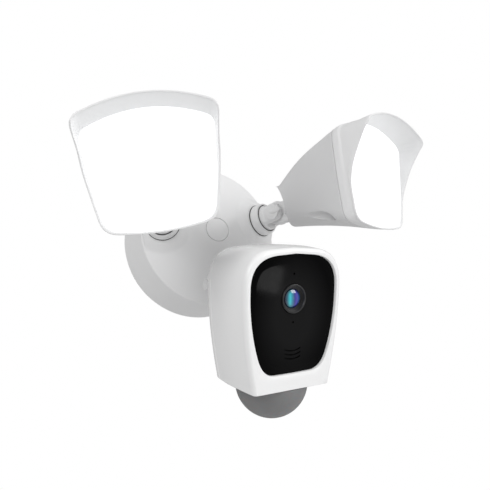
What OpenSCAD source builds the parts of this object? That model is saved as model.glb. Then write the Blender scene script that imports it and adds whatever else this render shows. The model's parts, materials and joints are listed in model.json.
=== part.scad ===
// Floodlight camera for a wall: a round base on a junction box, two light heads on
// swivel arms with tilting knuckles, and a camera on a pan and tilt joint.
// Millimetres. +Z is up, the wall is the plane Y = 0 and the front faces -Y.

/* [Base] */
// Radius of the base at the wall
base_r = 63.5; // [60:0.5:80]
// Radius of the base at the front edge of its rim
rim_r = 60; // [56:0.5:76]
// Distance from the wall to the front edge of the rim
rim_depth = 38.6; // [36:0.2:48]
// Height of the domed front above the rim
dome_h = 17; // [14:0.5:21]
// Wall thickness of the base housing
base_wall = 2.6; // [2:0.1:3.2]
// Thickness of the foam ring against the wall
gasket_t = 2; // [1:0.5:3]
// Radius of the cap over the centre screw
cap_r = 10; // [8:0.5:12]
// Distance between the two junction box screws
box_screw_span = 88.9; // [80:0.1:92]
// Length of the steel mounting strap
strap_len = 104; // [100:1:106]

/* [Arms] */
// Sideways distance of each arm socket from the centre
socket_x = 43.4; // [40:0.2:47]
// Height of the arm sockets above the centre
socket_up = 8; // [0:0.5:14]
// Angle of each arm outwards from straight ahead
arm_angle = 21.5; // [14:0.5:24]
// Distance from the base dome to the knuckle bolt
arm_reach = 25; // [24:0.5:32]
// Radius of the arm behind the knuckle
arm_r = 11; // [10.5:0.1:12]
// Outer radius of the lock collar
collar_r = 13.7; // [13:0.1:16]
// Height of the lock collar
collar_h = 7.7; // [6:0.1:8]
// Radius of the round arm ears
ear_r = 7.4; // [6:0.1:8.5]
// Radius of the tongue between the ears
tongue_r = 9.8; // [8.5:0.1:10]
// Thickness of the tongue between the ears
tongue_t = 8.2; // [6:0.2:9]
// Radius of the knuckle, pan and tilt pins
pin_r = 2.5; // [2:0.1:3]

/* [Light heads] */
// Half width of the light at its upper corners
head_top_half = 45.5; // [40:0.5:52]
// Half width of the light at its lower corners
head_low_half = 34.8; // [32:0.2:42]
// Height of the upper corners above the light's centre
head_up = 40.5; // [36:0.5:46]
// Depth of the lower corners below the light's centre
head_down = 27.8; // [25:0.2:32]
// Rise of the arched top edge
head_arch = 10.5; // [6:0.5:14]
// Length of the visor at the top
visor_len = 21; // [14:0.5:28]
// Length of the shell behind the light
shell_len = 88; // [84:0.5:89]
// Radius of the shell's round neck
neck_r = 18; // [17:0.25:20]
// Wall thickness of the shell and the bezel
head_wall = 2.4; // [2:0.1:3]
// Height of the light's centre above the knuckle bolt
head_lift = 4.5; // [2:0.5:7]
// Downward tilt of the light heads
head_tilt = 8.5; // [0:0.5:14]
// Rows and columns of light chips
led_rows = 4; // [3:1:5]
led_columns = 6; // [4:1:7]

/* [Camera] */
// Half width of the camera housing at lens height
cam_half = 40.5; // [38:0.5:48]
// Half width of the camera housing at its lower edge
cam_low_half = 31.8; // [31:0.2:38]
// Height of the housing above the lens
cam_up = 35; // [33:0.5:42]
// Depth of the housing below the lens
cam_down = 62.6; // [60:0.2:74]
// Depth of the housing from front to back
cam_depth = 55; // [52:0.5:64]
// Wall thickness of the camera housing
cam_wall = 2.6; // [2:0.1:3.2]
// Radius of the motion sensor dome
dome_r = 26; // [22:0.5:28]
// Radius of the ring around the lens
lens_ring_r = 10; // [8.5:0.25:12]
// Sideways turn of the camera
cam_pan = 5; // [-12:0.5:12]
// Downward tilt of the camera
cam_tilt = 20.6; // [0:0.1:24]
// Half length of the tilt bolt
tilt_bolt_half = 28; // [26:0.5:30]

/* [Fits] */
// Radial clearance of a turning pin or a sliding button
running = 0.08; // [0.04:0.01:0.1]
// Gap between pieces that move past each other
gap = 0.3; // [0.25:0.05:0.4]

/* [Hidden] */
$fn = 72;

// Base, measured forward from the wall
dome_sphere_r = (rim_r * rim_r + dome_h * dome_h) / (2 * dome_h);
dome_center = rim_depth + dome_h - dome_sphere_r;
base_front = rim_depth + dome_h;
rim_slope = (base_r - rim_r) / (rim_depth - gasket_t);
gasket_w = 7;
strap_t = 2;
strap_w = 22;
strap_slot_r = 2.4;
strap_slot_len = 14;
center_screw_r = 2;
center_head_r = 4.5;
center_head_h = 3;
center_tube_r = 5.5;
cap_t = 3.4;
board_back = 16;
board_t = 1.6;
board_r = 50;
post_r = 3.6;
screw_r = 1.5;
screw_head_r = 3;
screw_head_h = 2;
pilot_r = 1.2;
board_posts = [[28, 40], [-28, 40], [34, -30], [-34, -30]];

// Arm sockets, measured outwards from the dome along the arm
socket_off = sqrt(socket_x * socket_x + socket_up * socket_up);
socket_z = dome_center + sqrt(dome_sphere_r * dome_sphere_r - socket_off * socket_off);
boss_h = 3.6;
boss_foot_r = 18;
boss_top_r = 14.6;
nose_h = 4.4;
boss_inside = 9;
tail_r = 8;
wire_r = 3.6;
arm_seat = boss_h + nose_h;
seal_t = 0.8;
nut_h = 5;
nut_r = 12;
slot_root = tongue_r + 0.7;
ear_in = tongue_t / 2 + gap;
ear_out = 9.4;
pivot_x = socket_x + arm_reach * sin(arm_angle);
pivot_z = socket_z + arm_reach * cos(arm_angle);
bolt_head_r = 5;
bolt_head_h = 1.4;

// Light head, measured from the centre of the diffuser's front
corner_top = 9;
corner_low = 8;
low_arch = 3.7;
side_bulge = 1.2;
bezel_back = -8;
diffuser_t = 3;
lip_t = 1.2;
lip_w = 1.8;
lens_gap = 0.2;
gasket_ring_t = 1.2;
gasket_ring_w = 3;
flange_t = 1.2;
cup_inset = 14;
cup_wall = 1.6;
cup_back = -18;
led_board_w = 58;
led_board_h = 42;
sink_w = 52;
sink_h = 38;
led_board_up = 9;
led_size = 3.6;
led_h = 0.9;
led_pitch = 8.4;
window_w = 54;
window_h = 36;
sink_plate_t = 3.4;
fin_t = 1.8;
fin_h = 12;
fin_count = 9;
boss_r = 3.6;
boss_lap = 2.3;
head_boss_back = -14;
neck_to_pivot = 4.5;
head_reach = shell_len + neck_to_pivot;
tilt_split = 1;
well_r = 4.6;
well_wall = 1.6;
well_floor = 2.4;
head_screws = [[22, 37.5], [-22, 37.5], [22.5, -18.5], [-22.5, -18.5]];
// Share of the way back, then how far the top and the underside have turned into the neck
shell_stations = [[0, 0, 0], [0.1, 0.12, 0.16], [0.3, 0.37, 0.44], [0.5, 0.58, 0.68],
    [0.75, 0.82, 0.9], [0.93, 1, 1], [1, 1, 1]];
plug_r = 13.4;
plug_back = -67;
plug_front = -60;
partition_t = 2;
notch_r = 21;

// Camera, measured from the front plane at the lens
seam = -46;
seal_w = 1.4;
plate_recess = 2;
plate_t = 2.4;
rim_w = 4.2;
chin_h = 11.6;
ledge_w = 3;
ledge_t = 2;
front_round = 2;
lens_bore_r = 6.8;
barrel_r = 8;
barrel_back = -22;
cam_board_z = -25.4;
cam_board_up = -12;
cam_board_w = 46;
cam_board_h = 60;
standoff_r = 2.6;
standoffs = [[17, 12], [-17, 12], [17, -36], [-17, -36]];
bracket_screws = [[9, 12], [-9, 12], [9, -12], [-9, -12]];
hole_r = 0.8;
light_hole_up = 17;
mic_hole_down = 16;
slit_down = [35.6, 38.4, 41.2];
slit_half = 6.8;
slit_t = 0.9;
cam_post_r = 4.1;
cam_posts = [[29, 18], [-29, 18], [23, -49], [-23, -49]];
dome_z = -26;
dome_wall = 1.8;
neck_ring_r = 17.5;
neck_ring_h = 4.6;
ring_wall = 1.8;
plate_gap = 0.2;
ear_x = 14.2;
ear_w = 5.3;
cam_ear_r = 8;
block_half_h = 8;
pan_offset = 7;
cheek_t = 4;
cheek_gap = gap;
foot_r = 13.4;
foot_h = 4;
foot_sink = 2.5;
foot_tilt = 21;
foot_down = 42;
foot_z = dome_center + sqrt(dome_sphere_r * dome_sphere_r - foot_down * foot_down);
foot_screw_x = 9;
foot_wire_r = 3.8;
pad_t = 3.5;
back_to_pivot = 20;
cam_reach = cam_depth + back_to_pivot;
pan_drop = 6.9;
pan_out = 16.7;
cam_drop = 2.4;
tilt_y = -foot_down - pan_drop;
pan_z = foot_z + pan_out;
cam_knob_r = 4;
button_r = 3;
button_down = 46;
button_proud = 1.2;

function bezier(a, b, c, n) =
    [for (i = [0 : n]) let (t = i / n) (1 - t) * (1 - t) * a + 2 * t * (1 - t) * b + t * t * c];

// Outline of the light's face, run round from the lower left corner
function head_outline(inset) =
    let (wt = head_top_half - inset, wb = head_low_half - inset)
    let (up = head_up - inset, down = head_down - inset)
    let (ct = corner_top - inset / 2, cb = corner_low - inset / 2)
    let (side = function (t) [wb + (wt - wb) * t + side_bulge * 4 * t * (1 - t), -down + (up + down) * t])
    let (top = function (x) [x, up + head_arch * (1 - x * x / (wt * wt))])
    let (low = function (x) [x, -down - low_arch * (1 - x * x / (wb * wb))])
    let (side_from = cb / (up + down), side_to = 1 - ct / (up + down))
    let (half = concat(
        [for (i = [0 : 5]) low((wb - cb) * i / 5)],
        bezier(low(wb - cb), [wb, -down], side(side_from), 6),
        [for (i = [1 : 5]) side(side_from + (side_to - side_from) * i / 6)],
        bezier(side(side_to), [wt, up], top(wt - ct), 6),
        [for (i = [4 : -1 : 0]) top((wt - ct) * i / 5)]))
    concat([for (i = [len(half) - 1 : -1 : 1]) [-half[i][0], half[i][1]]], half);

// Section of the head's shell: the face outline turning into the round neck
function shell_section(inset, top_mix, low_mix) =
    [for (p = head_outline(inset))
        let (rise = min(1, max(0, (p[1] + head_down) / (head_up + head_down))))
        let (m = low_mix + (top_mix - low_mix) * (0.5 - 0.5 * cos(180 * rise)), a = atan2(p[1], p[0]))
        (1 - m) * p + m * (neck_r - inset) * [cos(a), sin(a)]];

// Outline of the camera housing, run round from the middle of the lower edge
function cam_outline(inset, low_lift) =
    let (w = cam_half - inset, wb = cam_low_half - inset, up = cam_up - inset)
    let (down = cam_down - inset - low_lift, waist = 8)
    let (half = concat(
        [[0, -down], [wb - 1.5, -down]],
        bezier([wb - 1.5, -down], [wb, -down], [wb + 0.2, -down + 1.5], 3),
        bezier([wb + 1, -down + 8], [w, -22], [w, waist], 8),
        bezier([w, waist], [w, up - 2.5], [w - 22, up - 1], 10),
        [[w - 31, up - 0.25], [0, up]]))
    concat(half, [for (i = [len(half) - 2 : -1 : 1]) [-half[i][0], half[i][1]]]);

// Outline of the black face plate, with round lower corners above the chin
function plate_outline(inset) =
    let (w = cam_half - inset, up = cam_up - inset, wb = cam_low_half + rim_w - inset)
    let (down = cam_down - chin_h + rim_w - inset, waist = 8)
    let (half = concat(
        [[0, -down], [w / 2, -down + 0.2]],
        bezier([w / 2, -down + 0.2], [wb - 2.2, -down + 0.6], [wb - 0.2, -down + 9], 6),
        bezier([wb - 0.2, -down + 9], [w, -22], [w, waist], 8),
        bezier([w, waist], [w, up - 2.5], [w - 22, up - 1], 10),
        [[w - 31, up - 0.25], [0, up]]))
    concat(half, [for (i = [len(half) - 2 : -1 : 1]) [-half[i][0], half[i][1]]]);

module from_wall() {
    rotate([90, 0, 0])
        children();
}

module slab(back, front) {
    translate([0, 0, back])
        linear_extrude(front - back)
            children();
}

module rod(r, back, front) {
    translate([0, 0, back])
        cylinder(r = r, h = front - back);
}

module cross_rod(r, from, to) {
    translate([from, 0, 0])
        rotate([0, 90, 0])
            cylinder(r = r, h = to - from);
}

module rounded_plate(w, h, r) {
    hull()
        for (x = [-1, 1], y = [-1, 1])
            translate([x * (w / 2 - r), y * (h / 2 - r)])
                circle(r = r, $fn = 32);
}

module at_socket(side) {
    translate([side * socket_x, socket_up, socket_z])
        rotate([0, side * arm_angle, 0])
            children();
}

module at_pivot(side) {
    translate([side * pivot_x, socket_up, pivot_z])
        rotate([0, side * arm_angle, 0])
            children();
}

module at_light(side) {
    at_pivot(side)
        rotate([head_tilt + side * tilt_split, 0, 0])
            translate([0, head_lift, head_reach])
                children();
}

module at_foot() {
    translate([0, -foot_down, foot_z])
        rotate([foot_tilt, 0, 0])
            children();
}

module at_pan() {
    translate([0, tilt_y, pan_z])
        rotate([0, cam_pan, 0])
            children();
}

module at_lens() {
    at_pan()
        translate([0, 0, pan_offset])
            rotate([cam_tilt, 0, 0])
                translate([0, -cam_drop, cam_reach])
                    children();
}

// ---- Base ----

module base_solid(inset) {
    intersection() {
        translate([0, 0, gasket_t])
            cylinder(
                r1 = base_r - inset,
                r2 = base_r - inset - rim_slope * base_front,
                h = base_front,
                $fn = 120);
        translate([0, 0, dome_center])
            sphere(r = dome_sphere_r - inset, $fn = 120);
    }
}

module wall_gasket() {
    color("dimgray")
        difference() {
            rod(base_r - 1, 0, gasket_t);
            rod(base_r - 1 - gasket_w, -1, gasket_t + 1);
        }
}

module mounting_strap() {
    color("silver")
        difference() {
            slab(0, strap_t)
                rounded_plate(strap_len, strap_w, 4);
            rod(center_screw_r + 0.05, -1, strap_t + 1);
            for (s = [-1, 1])
                translate([s * box_screw_span / 2, 0]) {
                    for (t = [-1, 1])
                        translate([t * (strap_slot_len / 2 - strap_slot_r), 0])
                            rod(strap_slot_r, -1, strap_t + 1);
                    slab(-1, strap_t + 1)
                        square([strap_slot_len - 2 * strap_slot_r, 2 * strap_slot_r], center = true);
                }
        }
}

module base_housing() {
    color("white")
        difference() {
            union() {
                difference() {
                    base_solid(0);
                    translate([0, 0, -1])
                        base_solid(base_wall);
                    rod(base_r - base_wall, -1, gasket_t + 0.001);
                }
                for (s = [-1, 1])
                    at_socket(s) {
                        translate([0, 0, -4])
                            cylinder(r1 = boss_foot_r + 1.5, r2 = boss_top_r, h = boss_h + 4);
                        rod(arm_r, 0, arm_seat);
                        rod(arm_r, -boss_inside, 0);
                    }
                at_foot()
                    rod(foot_r + 2, -foot_sink - pad_t, -foot_sink);
                rod(center_tube_r, board_back - 6, base_front - cap_t - 1);
                rod(cap_r + 2, base_front - cap_t - 3, base_front - cap_t - 1);
                intersection() {
                    base_solid(1);
                    for (p = board_posts)
                        translate(p)
                            rod(post_r, board_back + board_t, base_front);
                }
            }
            for (s = [-1, 1])
                at_socket(s) {
                    rod(tail_r + running, -boss_inside - 8, arm_seat + 1);
                    rod(tail_r + 1.6, arm_seat - seal_t, arm_seat + 1);
                }
            at_foot() {
                rod(foot_r + 0.1, -foot_sink, 12);
                rod(foot_wire_r, -foot_sink - pad_t - 6, 1);
                for (s = [-1, 1])
                    translate([s * foot_screw_x, 0])
                        rod(screw_r + 0.1, -foot_sink - pad_t - 6, 1);
            }
            rod(center_screw_r + 0.4, 0, base_front);
            rod(center_head_r + 0.3, base_front - cap_t - center_head_h, base_front);
            rod(cap_r + 0.1, base_front - cap_t, base_front + 2);
            for (p = board_posts)
                translate(p)
                    rod(pilot_r + 0.3, board_back, board_back + 14);
        }
}

module center_screw() {
    color("silver") {
        rod(center_screw_r, 0.4, base_front - cap_t - center_head_h);
        difference() {
            rod(center_head_r, base_front - cap_t - center_head_h, base_front - cap_t - 0.4);
            slab(base_front - cap_t - 1.6, base_front)
                square([1, 7], center = true);
        }
    }
}

module center_cap() {
    color("white")
        intersection() {
            rod(cap_r - 0.1, base_front - cap_t, base_front + 2);
            translate([0, 0, dome_center])
                sphere(r = dome_sphere_r, $fn = 120);
        }
}

module driver_board() {
    color("darkgreen")
        difference() {
            rod(board_r, board_back, board_back + board_t);
            rod(center_tube_r + 0.5, board_back - 1, board_back + board_t + 1);
            for (p = board_posts)
                translate(p)
                    rod(screw_r + 0.2, board_back - 1, board_back + board_t + 1);
        }
}

module driver_parts() {
    front = board_back + board_t;
    color("darkslategray") {
        translate([-9, 18, front])
            cube([18, 16, 13]);
        translate([-8, -24, front])
            cube([16, 12, 5]);
        for (x = [-20, 20])
            translate([x, 24, 0])
                rod(5, front, front + 11);
        translate([24, -14, 0])
            rod(4, front, front + 9);
        translate([-30, -16, front])
            cube([12, 9, 7]);
    }
}

module terminal_block() {
    color("ivory")
        difference() {
            translate([-15, 24, board_back - 9])
                cube([30, 11, 9]);
            for (i = [-1 : 1])
                translate([i * 9, 29.5, 0])
                    rod(2, board_back - 10, board_back - 3);
        }
}

module board_screws() {
    color("silver")
        for (p = board_posts)
            translate(p) {
                rod(pilot_r, board_back, board_back + 9);
                rod(screw_head_r, board_back - screw_head_h, board_back);
            }
}

// ---- Arms ----

module arm_seals() {
    color("dimgray")
        for (s = [-1, 1])
            at_socket(s)
                difference() {
                    rod(tail_r + 1.5, arm_seat - seal_t, arm_seat - 0.1);
                    rod(tail_r + 0.3, arm_seat - seal_t - 1, arm_seat);
                }
}

module collar(side) {
    color("white")
        at_socket(side)
            difference() {
                union() {
                    translate([0, 0, boss_h + gap])
                        cylinder(r1 = collar_r, r2 = collar_r - 0.5, h = collar_h - 1);
                    translate([0, 0, boss_h + gap + collar_h - 1])
                        cylinder(r1 = collar_r - 0.5, r2 = collar_r - 1.4, h = 1);
                }
                rod(arm_r + gap, 0, boss_h + collar_h + 2);
            }
}

module arm(side) {
    root = -arm_reach + arm_seat;
    color("white")
        at_pivot(side)
            difference() {
                union() {
                    rod(arm_r, root, -slot_root);
                    rod(tail_r, root - arm_seat - boss_inside - nut_h - 1, root);
                    intersection() {
                        rod(arm_r, root, ear_r + 1);
                        for (s = [-1, 1]) {
                            scale([s, 1, 1]) {
                                cross_rod(ear_r, ear_in, ear_out);
                                translate([ear_in, -ear_r, root])
                                    cube([ear_out - ear_in, 2 * ear_r, -root]);
                            }
                        }
                    }
                }
                cross_rod(pin_r + 0.02, -arm_r, arm_r);
                cross_rod(bolt_head_r + 0.1, -arm_r - 1, -ear_out + bolt_head_h);
                rotate([0, 90, 0])
                    translate([0, 0, ear_out - 2.6])
                        cylinder(r = 4.72, h = 4, $fn = 6);
                rod(wire_r, root - arm_seat - boss_inside - nut_h - 2, -slot_root - 1.5);
            }
}

module arm_nut(side) {
    color("silver")
        at_socket(side)
            difference() {
                translate([0, 0, -boss_inside - gap - nut_h])
                    cylinder(r = nut_r, h = nut_h, $fn = 6);
                rod(tail_r + 0.02, -boss_inside - nut_h - 2, 0);
            }
}

module knuckle_bolt(side) {
    color("silver")
        at_pivot(side) {
            cross_rod(pin_r, -ear_out + bolt_head_h, ear_out - 0.4);
            cross_rod(bolt_head_r, -ear_out - 0.3, -ear_out + bolt_head_h);
        }
}

module knuckle_nut(side) {
    color("silver")
        at_pivot(side)
            difference() {
                rotate([0, 90, 0])
                    translate([0, 0, ear_out - 2.5])
                        cylinder(r = 4.6, h = 2.4, $fn = 6);
                cross_rod(pin_r + 0.02, 0, arm_r);
            }
}

// ---- Light heads ----

module shell_form(inset) {
    span = shell_len + bezel_back;
    hull()
        for (s = shell_stations)
            slab(bezel_back - s[0] * span - 0.05, bezel_back - s[0] * span)
                polygon(shell_section(inset, s[1], s[2]));
}

module bracket(side) {
    color("white")
        at_light(side)
            difference() {
                union() {
                    translate([0, -head_lift, -head_reach]) {
                        cross_rod(tongue_r, -tongue_t / 2, tongue_t / 2);
                        translate([-tongue_t / 2, -tongue_r + 1, 0])
                            cube([tongue_t, 5, head_reach + plug_back + 1]);
                        translate([-tongue_t / 2, tongue_r - 6, 0])
                            cube([tongue_t, 5, head_reach + plug_back + 1]);
                        translate([-1.5, -tongue_r + 2, 0])
                            cube([3, 2 * tongue_r - 4, head_reach + plug_back + 1]);
                    }
                    translate([0, -1, 0]) {
                        rod(plug_r, plug_back, plug_front);
                        rod(plug_r - 2, plug_back - 3, plug_back);
                    }
                }
                translate([0, -head_lift, -head_reach])
                    cross_rod(pin_r + running, -tongue_t, tongue_t);
                translate([0, 6, 0])
                    rod(2, plug_back - 4, plug_front + 1);
            }
}

module rear_shell(side) {
    color("white")
        at_light(side)
            difference() {
                union() {
                    difference() {
                        shell_form(0);
                        shell_form(head_wall);
                        rod(neck_r - head_wall, -shell_len - 1, -shell_len + 8);
                        slab(bezel_back - 0.3, bezel_back + 1)
                            polygon(head_outline(head_wall));
                    }
                    intersection() {
                        shell_form(0.5);
                        for (p = head_screws)
                            translate(p)
                                rod(well_r + well_wall, -shell_len, head_boss_back);
                    }
                    intersection() {
                        shell_form(head_wall / 2);
                        slab(plug_back, plug_back + partition_t)
                            square(3 * neck_r, center = true);
                    }
                }
                translate([0, -1, 0])
                    rod(plug_r + 0.05, plug_back - 1, plug_front);
                for (p = head_screws)
                    translate(p) {
                        rod(well_r, -shell_len, head_boss_back - well_floor);
                        rod(screw_r + 0.2, -shell_len, head_boss_back + 1);
                    }
                translate([0, -head_lift, -head_reach])
                    cross_rod(notch_r, -2 * neck_r, 2 * neck_r);
            }
}

module heat_sink(side) {
    back = cup_back - 1.6;
    color("silver")
        at_light(side)
            translate([0, led_board_up, 0]) {
                slab(back - sink_plate_t, back)
                    square([sink_w, sink_h], center = true);
                for (i = [0 : fin_count - 1])
                    translate([(i - (fin_count - 1) / 2) * (sink_w - fin_t) / (fin_count - 1), 0])
                        slab(back - sink_plate_t - fin_h, back - sink_plate_t)
                            square([fin_t, sink_h - 8], center = true);
            }
}

module led_board(side) {
    color("whitesmoke")
        at_light(side)
            slab(cup_back - 1.6, cup_back)
                translate([0, led_board_up])
                    square([led_board_w, led_board_h], center = true);
}

module leds(side) {
    color("khaki")
        at_light(side)
            translate([0, led_board_up, 0])
                for (i = [0 : led_columns - 1], j = [0 : led_rows - 1])
                    translate([
                        (i - (led_columns - 1) / 2) * led_pitch,
                        (j - (led_rows - 1) / 2) * led_pitch,
                        0])
                        slab(cup_back, cup_back + led_h)
                            square(led_size, center = true);
}

module reflector(side) {
    flange_back = -diffuser_t - gasket_ring_t - flange_t;
    color("gainsboro")
        at_light(side)
            difference() {
                union() {
                    slab(flange_back, flange_back + flange_t)
                        polygon(head_outline(head_wall + 0.5));
                    slab(cup_back, flange_back)
                        polygon(head_outline(cup_inset));
                }
                slab(cup_back + cup_wall, 1)
                    polygon(head_outline(cup_inset + cup_wall));
                slab(cup_back - 1, cup_back + 3)
                    translate([0, led_board_up])
                        square([window_w, window_h], center = true);
                for (p = head_screws)
                    translate(p)
                        rod(well_r + well_wall + gap, cup_back - 1, head_boss_back + gap);
            }
}

module lens_gasket(side) {
    color("dimgray")
        at_light(side)
            slab(-diffuser_t - gasket_ring_t, -diffuser_t)
                difference() {
                    polygon(head_outline(head_wall + 0.5));
                    polygon(head_outline(head_wall + 0.5 + gasket_ring_w));
                }
}

module diffuser(side) {
    color("white")
        at_light(side)
            slab(-diffuser_t, 0)
                polygon(head_outline(head_wall + lens_gap));
}

// The visor's side edge sweeps forward as it rises
module visor_cut() {
    steps = 12;
    low = -6;
    edge = [for (i = [0 : steps]) let (t = i / steps)
        [low + (head_up - 2 - low) * t, 1.6 + (visor_len - 1.6) * pow(t, 1.6)]];
    rotate([90, 0, 90])
        translate([0, 0, -2 * head_top_half])
            linear_extrude(4 * head_top_half)
                polygon(concat([[-3 * head_down, visor_len + 9], [-3 * head_down, 1.6]],
                    edge, [[head_up - 2, visor_len + 9]]));
}

module bezel(side) {
    color("white")
        at_light(side)
            difference() {
                union() {
                    difference() {
                        slab(bezel_back, visor_len)
                            polygon(head_outline(0));
                        slab(bezel_back - 1, visor_len + 1)
                            polygon(head_outline(head_wall));
                    }
                    difference() {
                        slab(0, lip_t)
                            polygon(head_outline(head_wall - 0.2));
                        slab(-1, lip_t + 1)
                            polygon(head_outline(head_wall + lip_w));
                    }
                    for (p = head_screws)
                        translate(p) {
                            rod(boss_r, head_boss_back, bezel_back + boss_lap);
                            slab(bezel_back, bezel_back + boss_lap)
                                translate([-1.2, p[1] > 0 ? 0 : -9])
                                    square([2.4, 9]);
                        }
                }
                for (p = head_screws)
                    translate(p)
                        rod(pilot_r + 0.35, head_boss_back - 1, bezel_back + 0.5);
                visor_cut();
            }
}

module shell_screws(side) {
    floor_z = head_boss_back - well_floor;
    color("silver")
        at_light(side)
            for (p = head_screws)
                translate(p)
                    difference() {
                        union() {
                            rod(screw_r, floor_z, head_boss_back + 5);
                            rod(screw_head_r, floor_z - screw_head_h, floor_z);
                        }
                        slab(floor_z - screw_head_h - 1, floor_z - 1) {
                            square([3.6, 0.8], center = true);
                            square([0.8, 3.6], center = true);
                        }
                    }
}

// ---- Camera joint ----

module camera_arm() {
    cheek = block_half_h + cheek_gap;
    color("white")
        difference() {
            union() {
                at_foot()
                    rod(foot_r, -foot_sink, foot_h);
                hull() {
                    at_foot()
                        rod(foot_r - 2.5, foot_h - 1, foot_h);
                    translate([0, tilt_y, pan_z])
                        slab(-block_half_h - 4.5, -block_half_h - 1)
                            square([16, 2 * (cheek + cheek_t)], center = true);
                }
                translate([0, tilt_y, pan_z])
                    for (s = [-1, 1])
                        translate([0, s * (cheek + cheek_t / 2), 0])
                            rotate([90, 0, 0])
                                translate([0, 0, -cheek_t / 2]) {
                                    cylinder(r = 8, h = cheek_t);
                                    translate([-8, -block_half_h - 2, 0])
                                        cube([16, block_half_h + 2, cheek_t]);
                                }
            }
            translate([0, tilt_y, pan_z])
                rotate([90, 0, 0])
                    cylinder(r = pin_r + 0.02, h = 60, center = true);
            translate([0, tilt_y, pan_z])
                rotate([90, 0, 0])
                    cylinder(r = block_half_h + 0.6, h = 2 * cheek, center = true);
            at_foot() {
                rod(foot_wire_r, -foot_sink - 1, foot_h - 1);
                for (s = [-1, 1])
                    translate([s * foot_screw_x, 0])
                        rod(pilot_r + 0.3, -foot_sink - 1, foot_h - 1);
            }
        }
}

module camera_arm_screws() {
    color("silver")
        at_foot()
            for (s = [-1, 1])
                translate([s * foot_screw_x, 0]) {
                    rod(pilot_r, -foot_sink - pad_t, foot_h - 2);
                    rod(screw_head_r, -foot_sink - pad_t - screw_head_h, -foot_sink - pad_t);
                }
}

module pan_pin() {
    half = block_half_h + cheek_gap + cheek_t;
    color("silver")
        translate([0, tilt_y, pan_z])
            rotate([90, 0, 0]) {
                cylinder(r = pin_r, h = 2 * half, center = true);
                for (s = [-1, 1])
                    translate([0, 0, s > 0 ? half : -half - 1.4])
                        cylinder(r = 4.4, h = 1.4);
            }
}

module pan_block() {
    color("white")
        at_pan()
            difference() {
                union() {
                    rotate([90, 0, 0])
                        cylinder(r = block_half_h, h = 2 * block_half_h, center = true);
                    translate([0, 0, pan_offset])
                        cross_rod(block_half_h, -ear_x + gap, ear_x - gap);
                    translate([-block_half_h, -block_half_h, 0])
                        cube([2 * block_half_h, 2 * block_half_h, pan_offset]);
                }
                rotate([90, 0, 0])
                    cylinder(r = pin_r + running, h = 4 * block_half_h, center = true);
                translate([0, 0, pan_offset])
                    cross_rod(pin_r + running, -2 * ear_x, 2 * ear_x);
            }
}

module camera_bracket() {
    plate_back = -cam_depth - 3;
    color("white")
        at_lens()
            difference() {
                union() {
                    slab(plate_back, -cam_depth)
                        rounded_plate(2 * (ear_x + ear_w) + 4, 34, 6);
                    for (s = [-1, 1])
                        scale([s, 1, 1]) {
                            translate([0, cam_drop, -cam_reach])
                                cross_rod(cam_ear_r, ear_x, ear_x + ear_w);
                            translate([ear_x, cam_drop - cam_ear_r, -cam_reach])
                                cube([ear_w, 2 * cam_ear_r, cam_reach + plate_back + 0.01]);
                        }
                }
                translate([0, cam_drop, -cam_reach])
                    cross_rod(pin_r + 0.02, -2 * cam_half, 2 * cam_half);
                for (p = bracket_screws)
                    translate(p)
                        rod(pilot_r + 0.3, plate_back - 1, -cam_depth + 1);
            }
}

module tilt_bolt() {
    color("white")
        at_lens()
            translate([0, cam_drop, -cam_reach]) {
                cross_rod(pin_r, -ear_x - ear_w, tilt_bolt_half - 1);
                cross_rod(cam_knob_r, -tilt_bolt_half, -ear_x - ear_w);
            }
}

module tilt_nut() {
    color("white")
        at_lens()
            translate([0, cam_drop, -cam_reach])
                difference() {
                    cross_rod(cam_knob_r + 1, ear_x + ear_w, tilt_bolt_half);
                    cross_rod(pin_r + 0.02, 0, tilt_bolt_half - 0.8);
                }
}

// ---- Camera ----

module cam_form(inset, front, back) {
    hull() {
        slab(front - 0.05, front)
            polygon(cam_outline(inset + (inset > 0 ? 0 : front_round), 0));
        if (front > -front_round)
            slab(-front_round - 0.05, -front_round)
                polygon(cam_outline(inset, 0));
        slab(-24, -23.9)
            polygon(cam_outline(inset - 0.8, 0.8));
        slab(back, back + 0.05)
            polygon(cam_outline(inset + 0.8, -0.8));
    }
}

module cover_form(inset, back) {
    hull() {
        slab(seam - 0.05, seam)
            polygon(cam_outline(inset + 0.8, -0.8));
        slab(back, back + 0.05)
            polygon(cam_outline(inset + 6.5, -5));
    }
}

module front_housing() {
    color("white")
        at_lens()
            difference() {
                union() {
                    difference() {
                        cam_form(0, 0, seam);
                        cam_form(cam_wall, -plate_recess - plate_t - ledge_t, seam - 1);
                    }
                    intersection() {
                        cam_form(0.6, -1, seam);
                        for (p = cam_posts)
                            translate(p) {
                                rod(cam_post_r, seam, -plate_recess - plate_t - ledge_t + 0.5);
                                slab(seam + seal_w + 0.6, -plate_recess - plate_t - ledge_t)
                                    translate([p[0] > 0 ? 0 : -cam_half, -1])
                                        square([cam_half, 2]);
                            }
                    }
                }
                slab(-plate_recess - plate_t, 1)
                    polygon(plate_outline(rim_w));
                slab(-plate_recess - plate_t - ledge_t - 1, 1)
                    polygon(plate_outline(rim_w + ledge_w));
                for (p = cam_posts)
                    translate(p)
                        rod(pilot_r + 0.3, seam - 1, seam + 14);
                translate([0, -cam_down, dome_z])
                    rotate([90, 0, 0])
                        cylinder(r = neck_ring_r + 0.1, h = 3 * cam_wall, center = true);
            }
}

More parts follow.
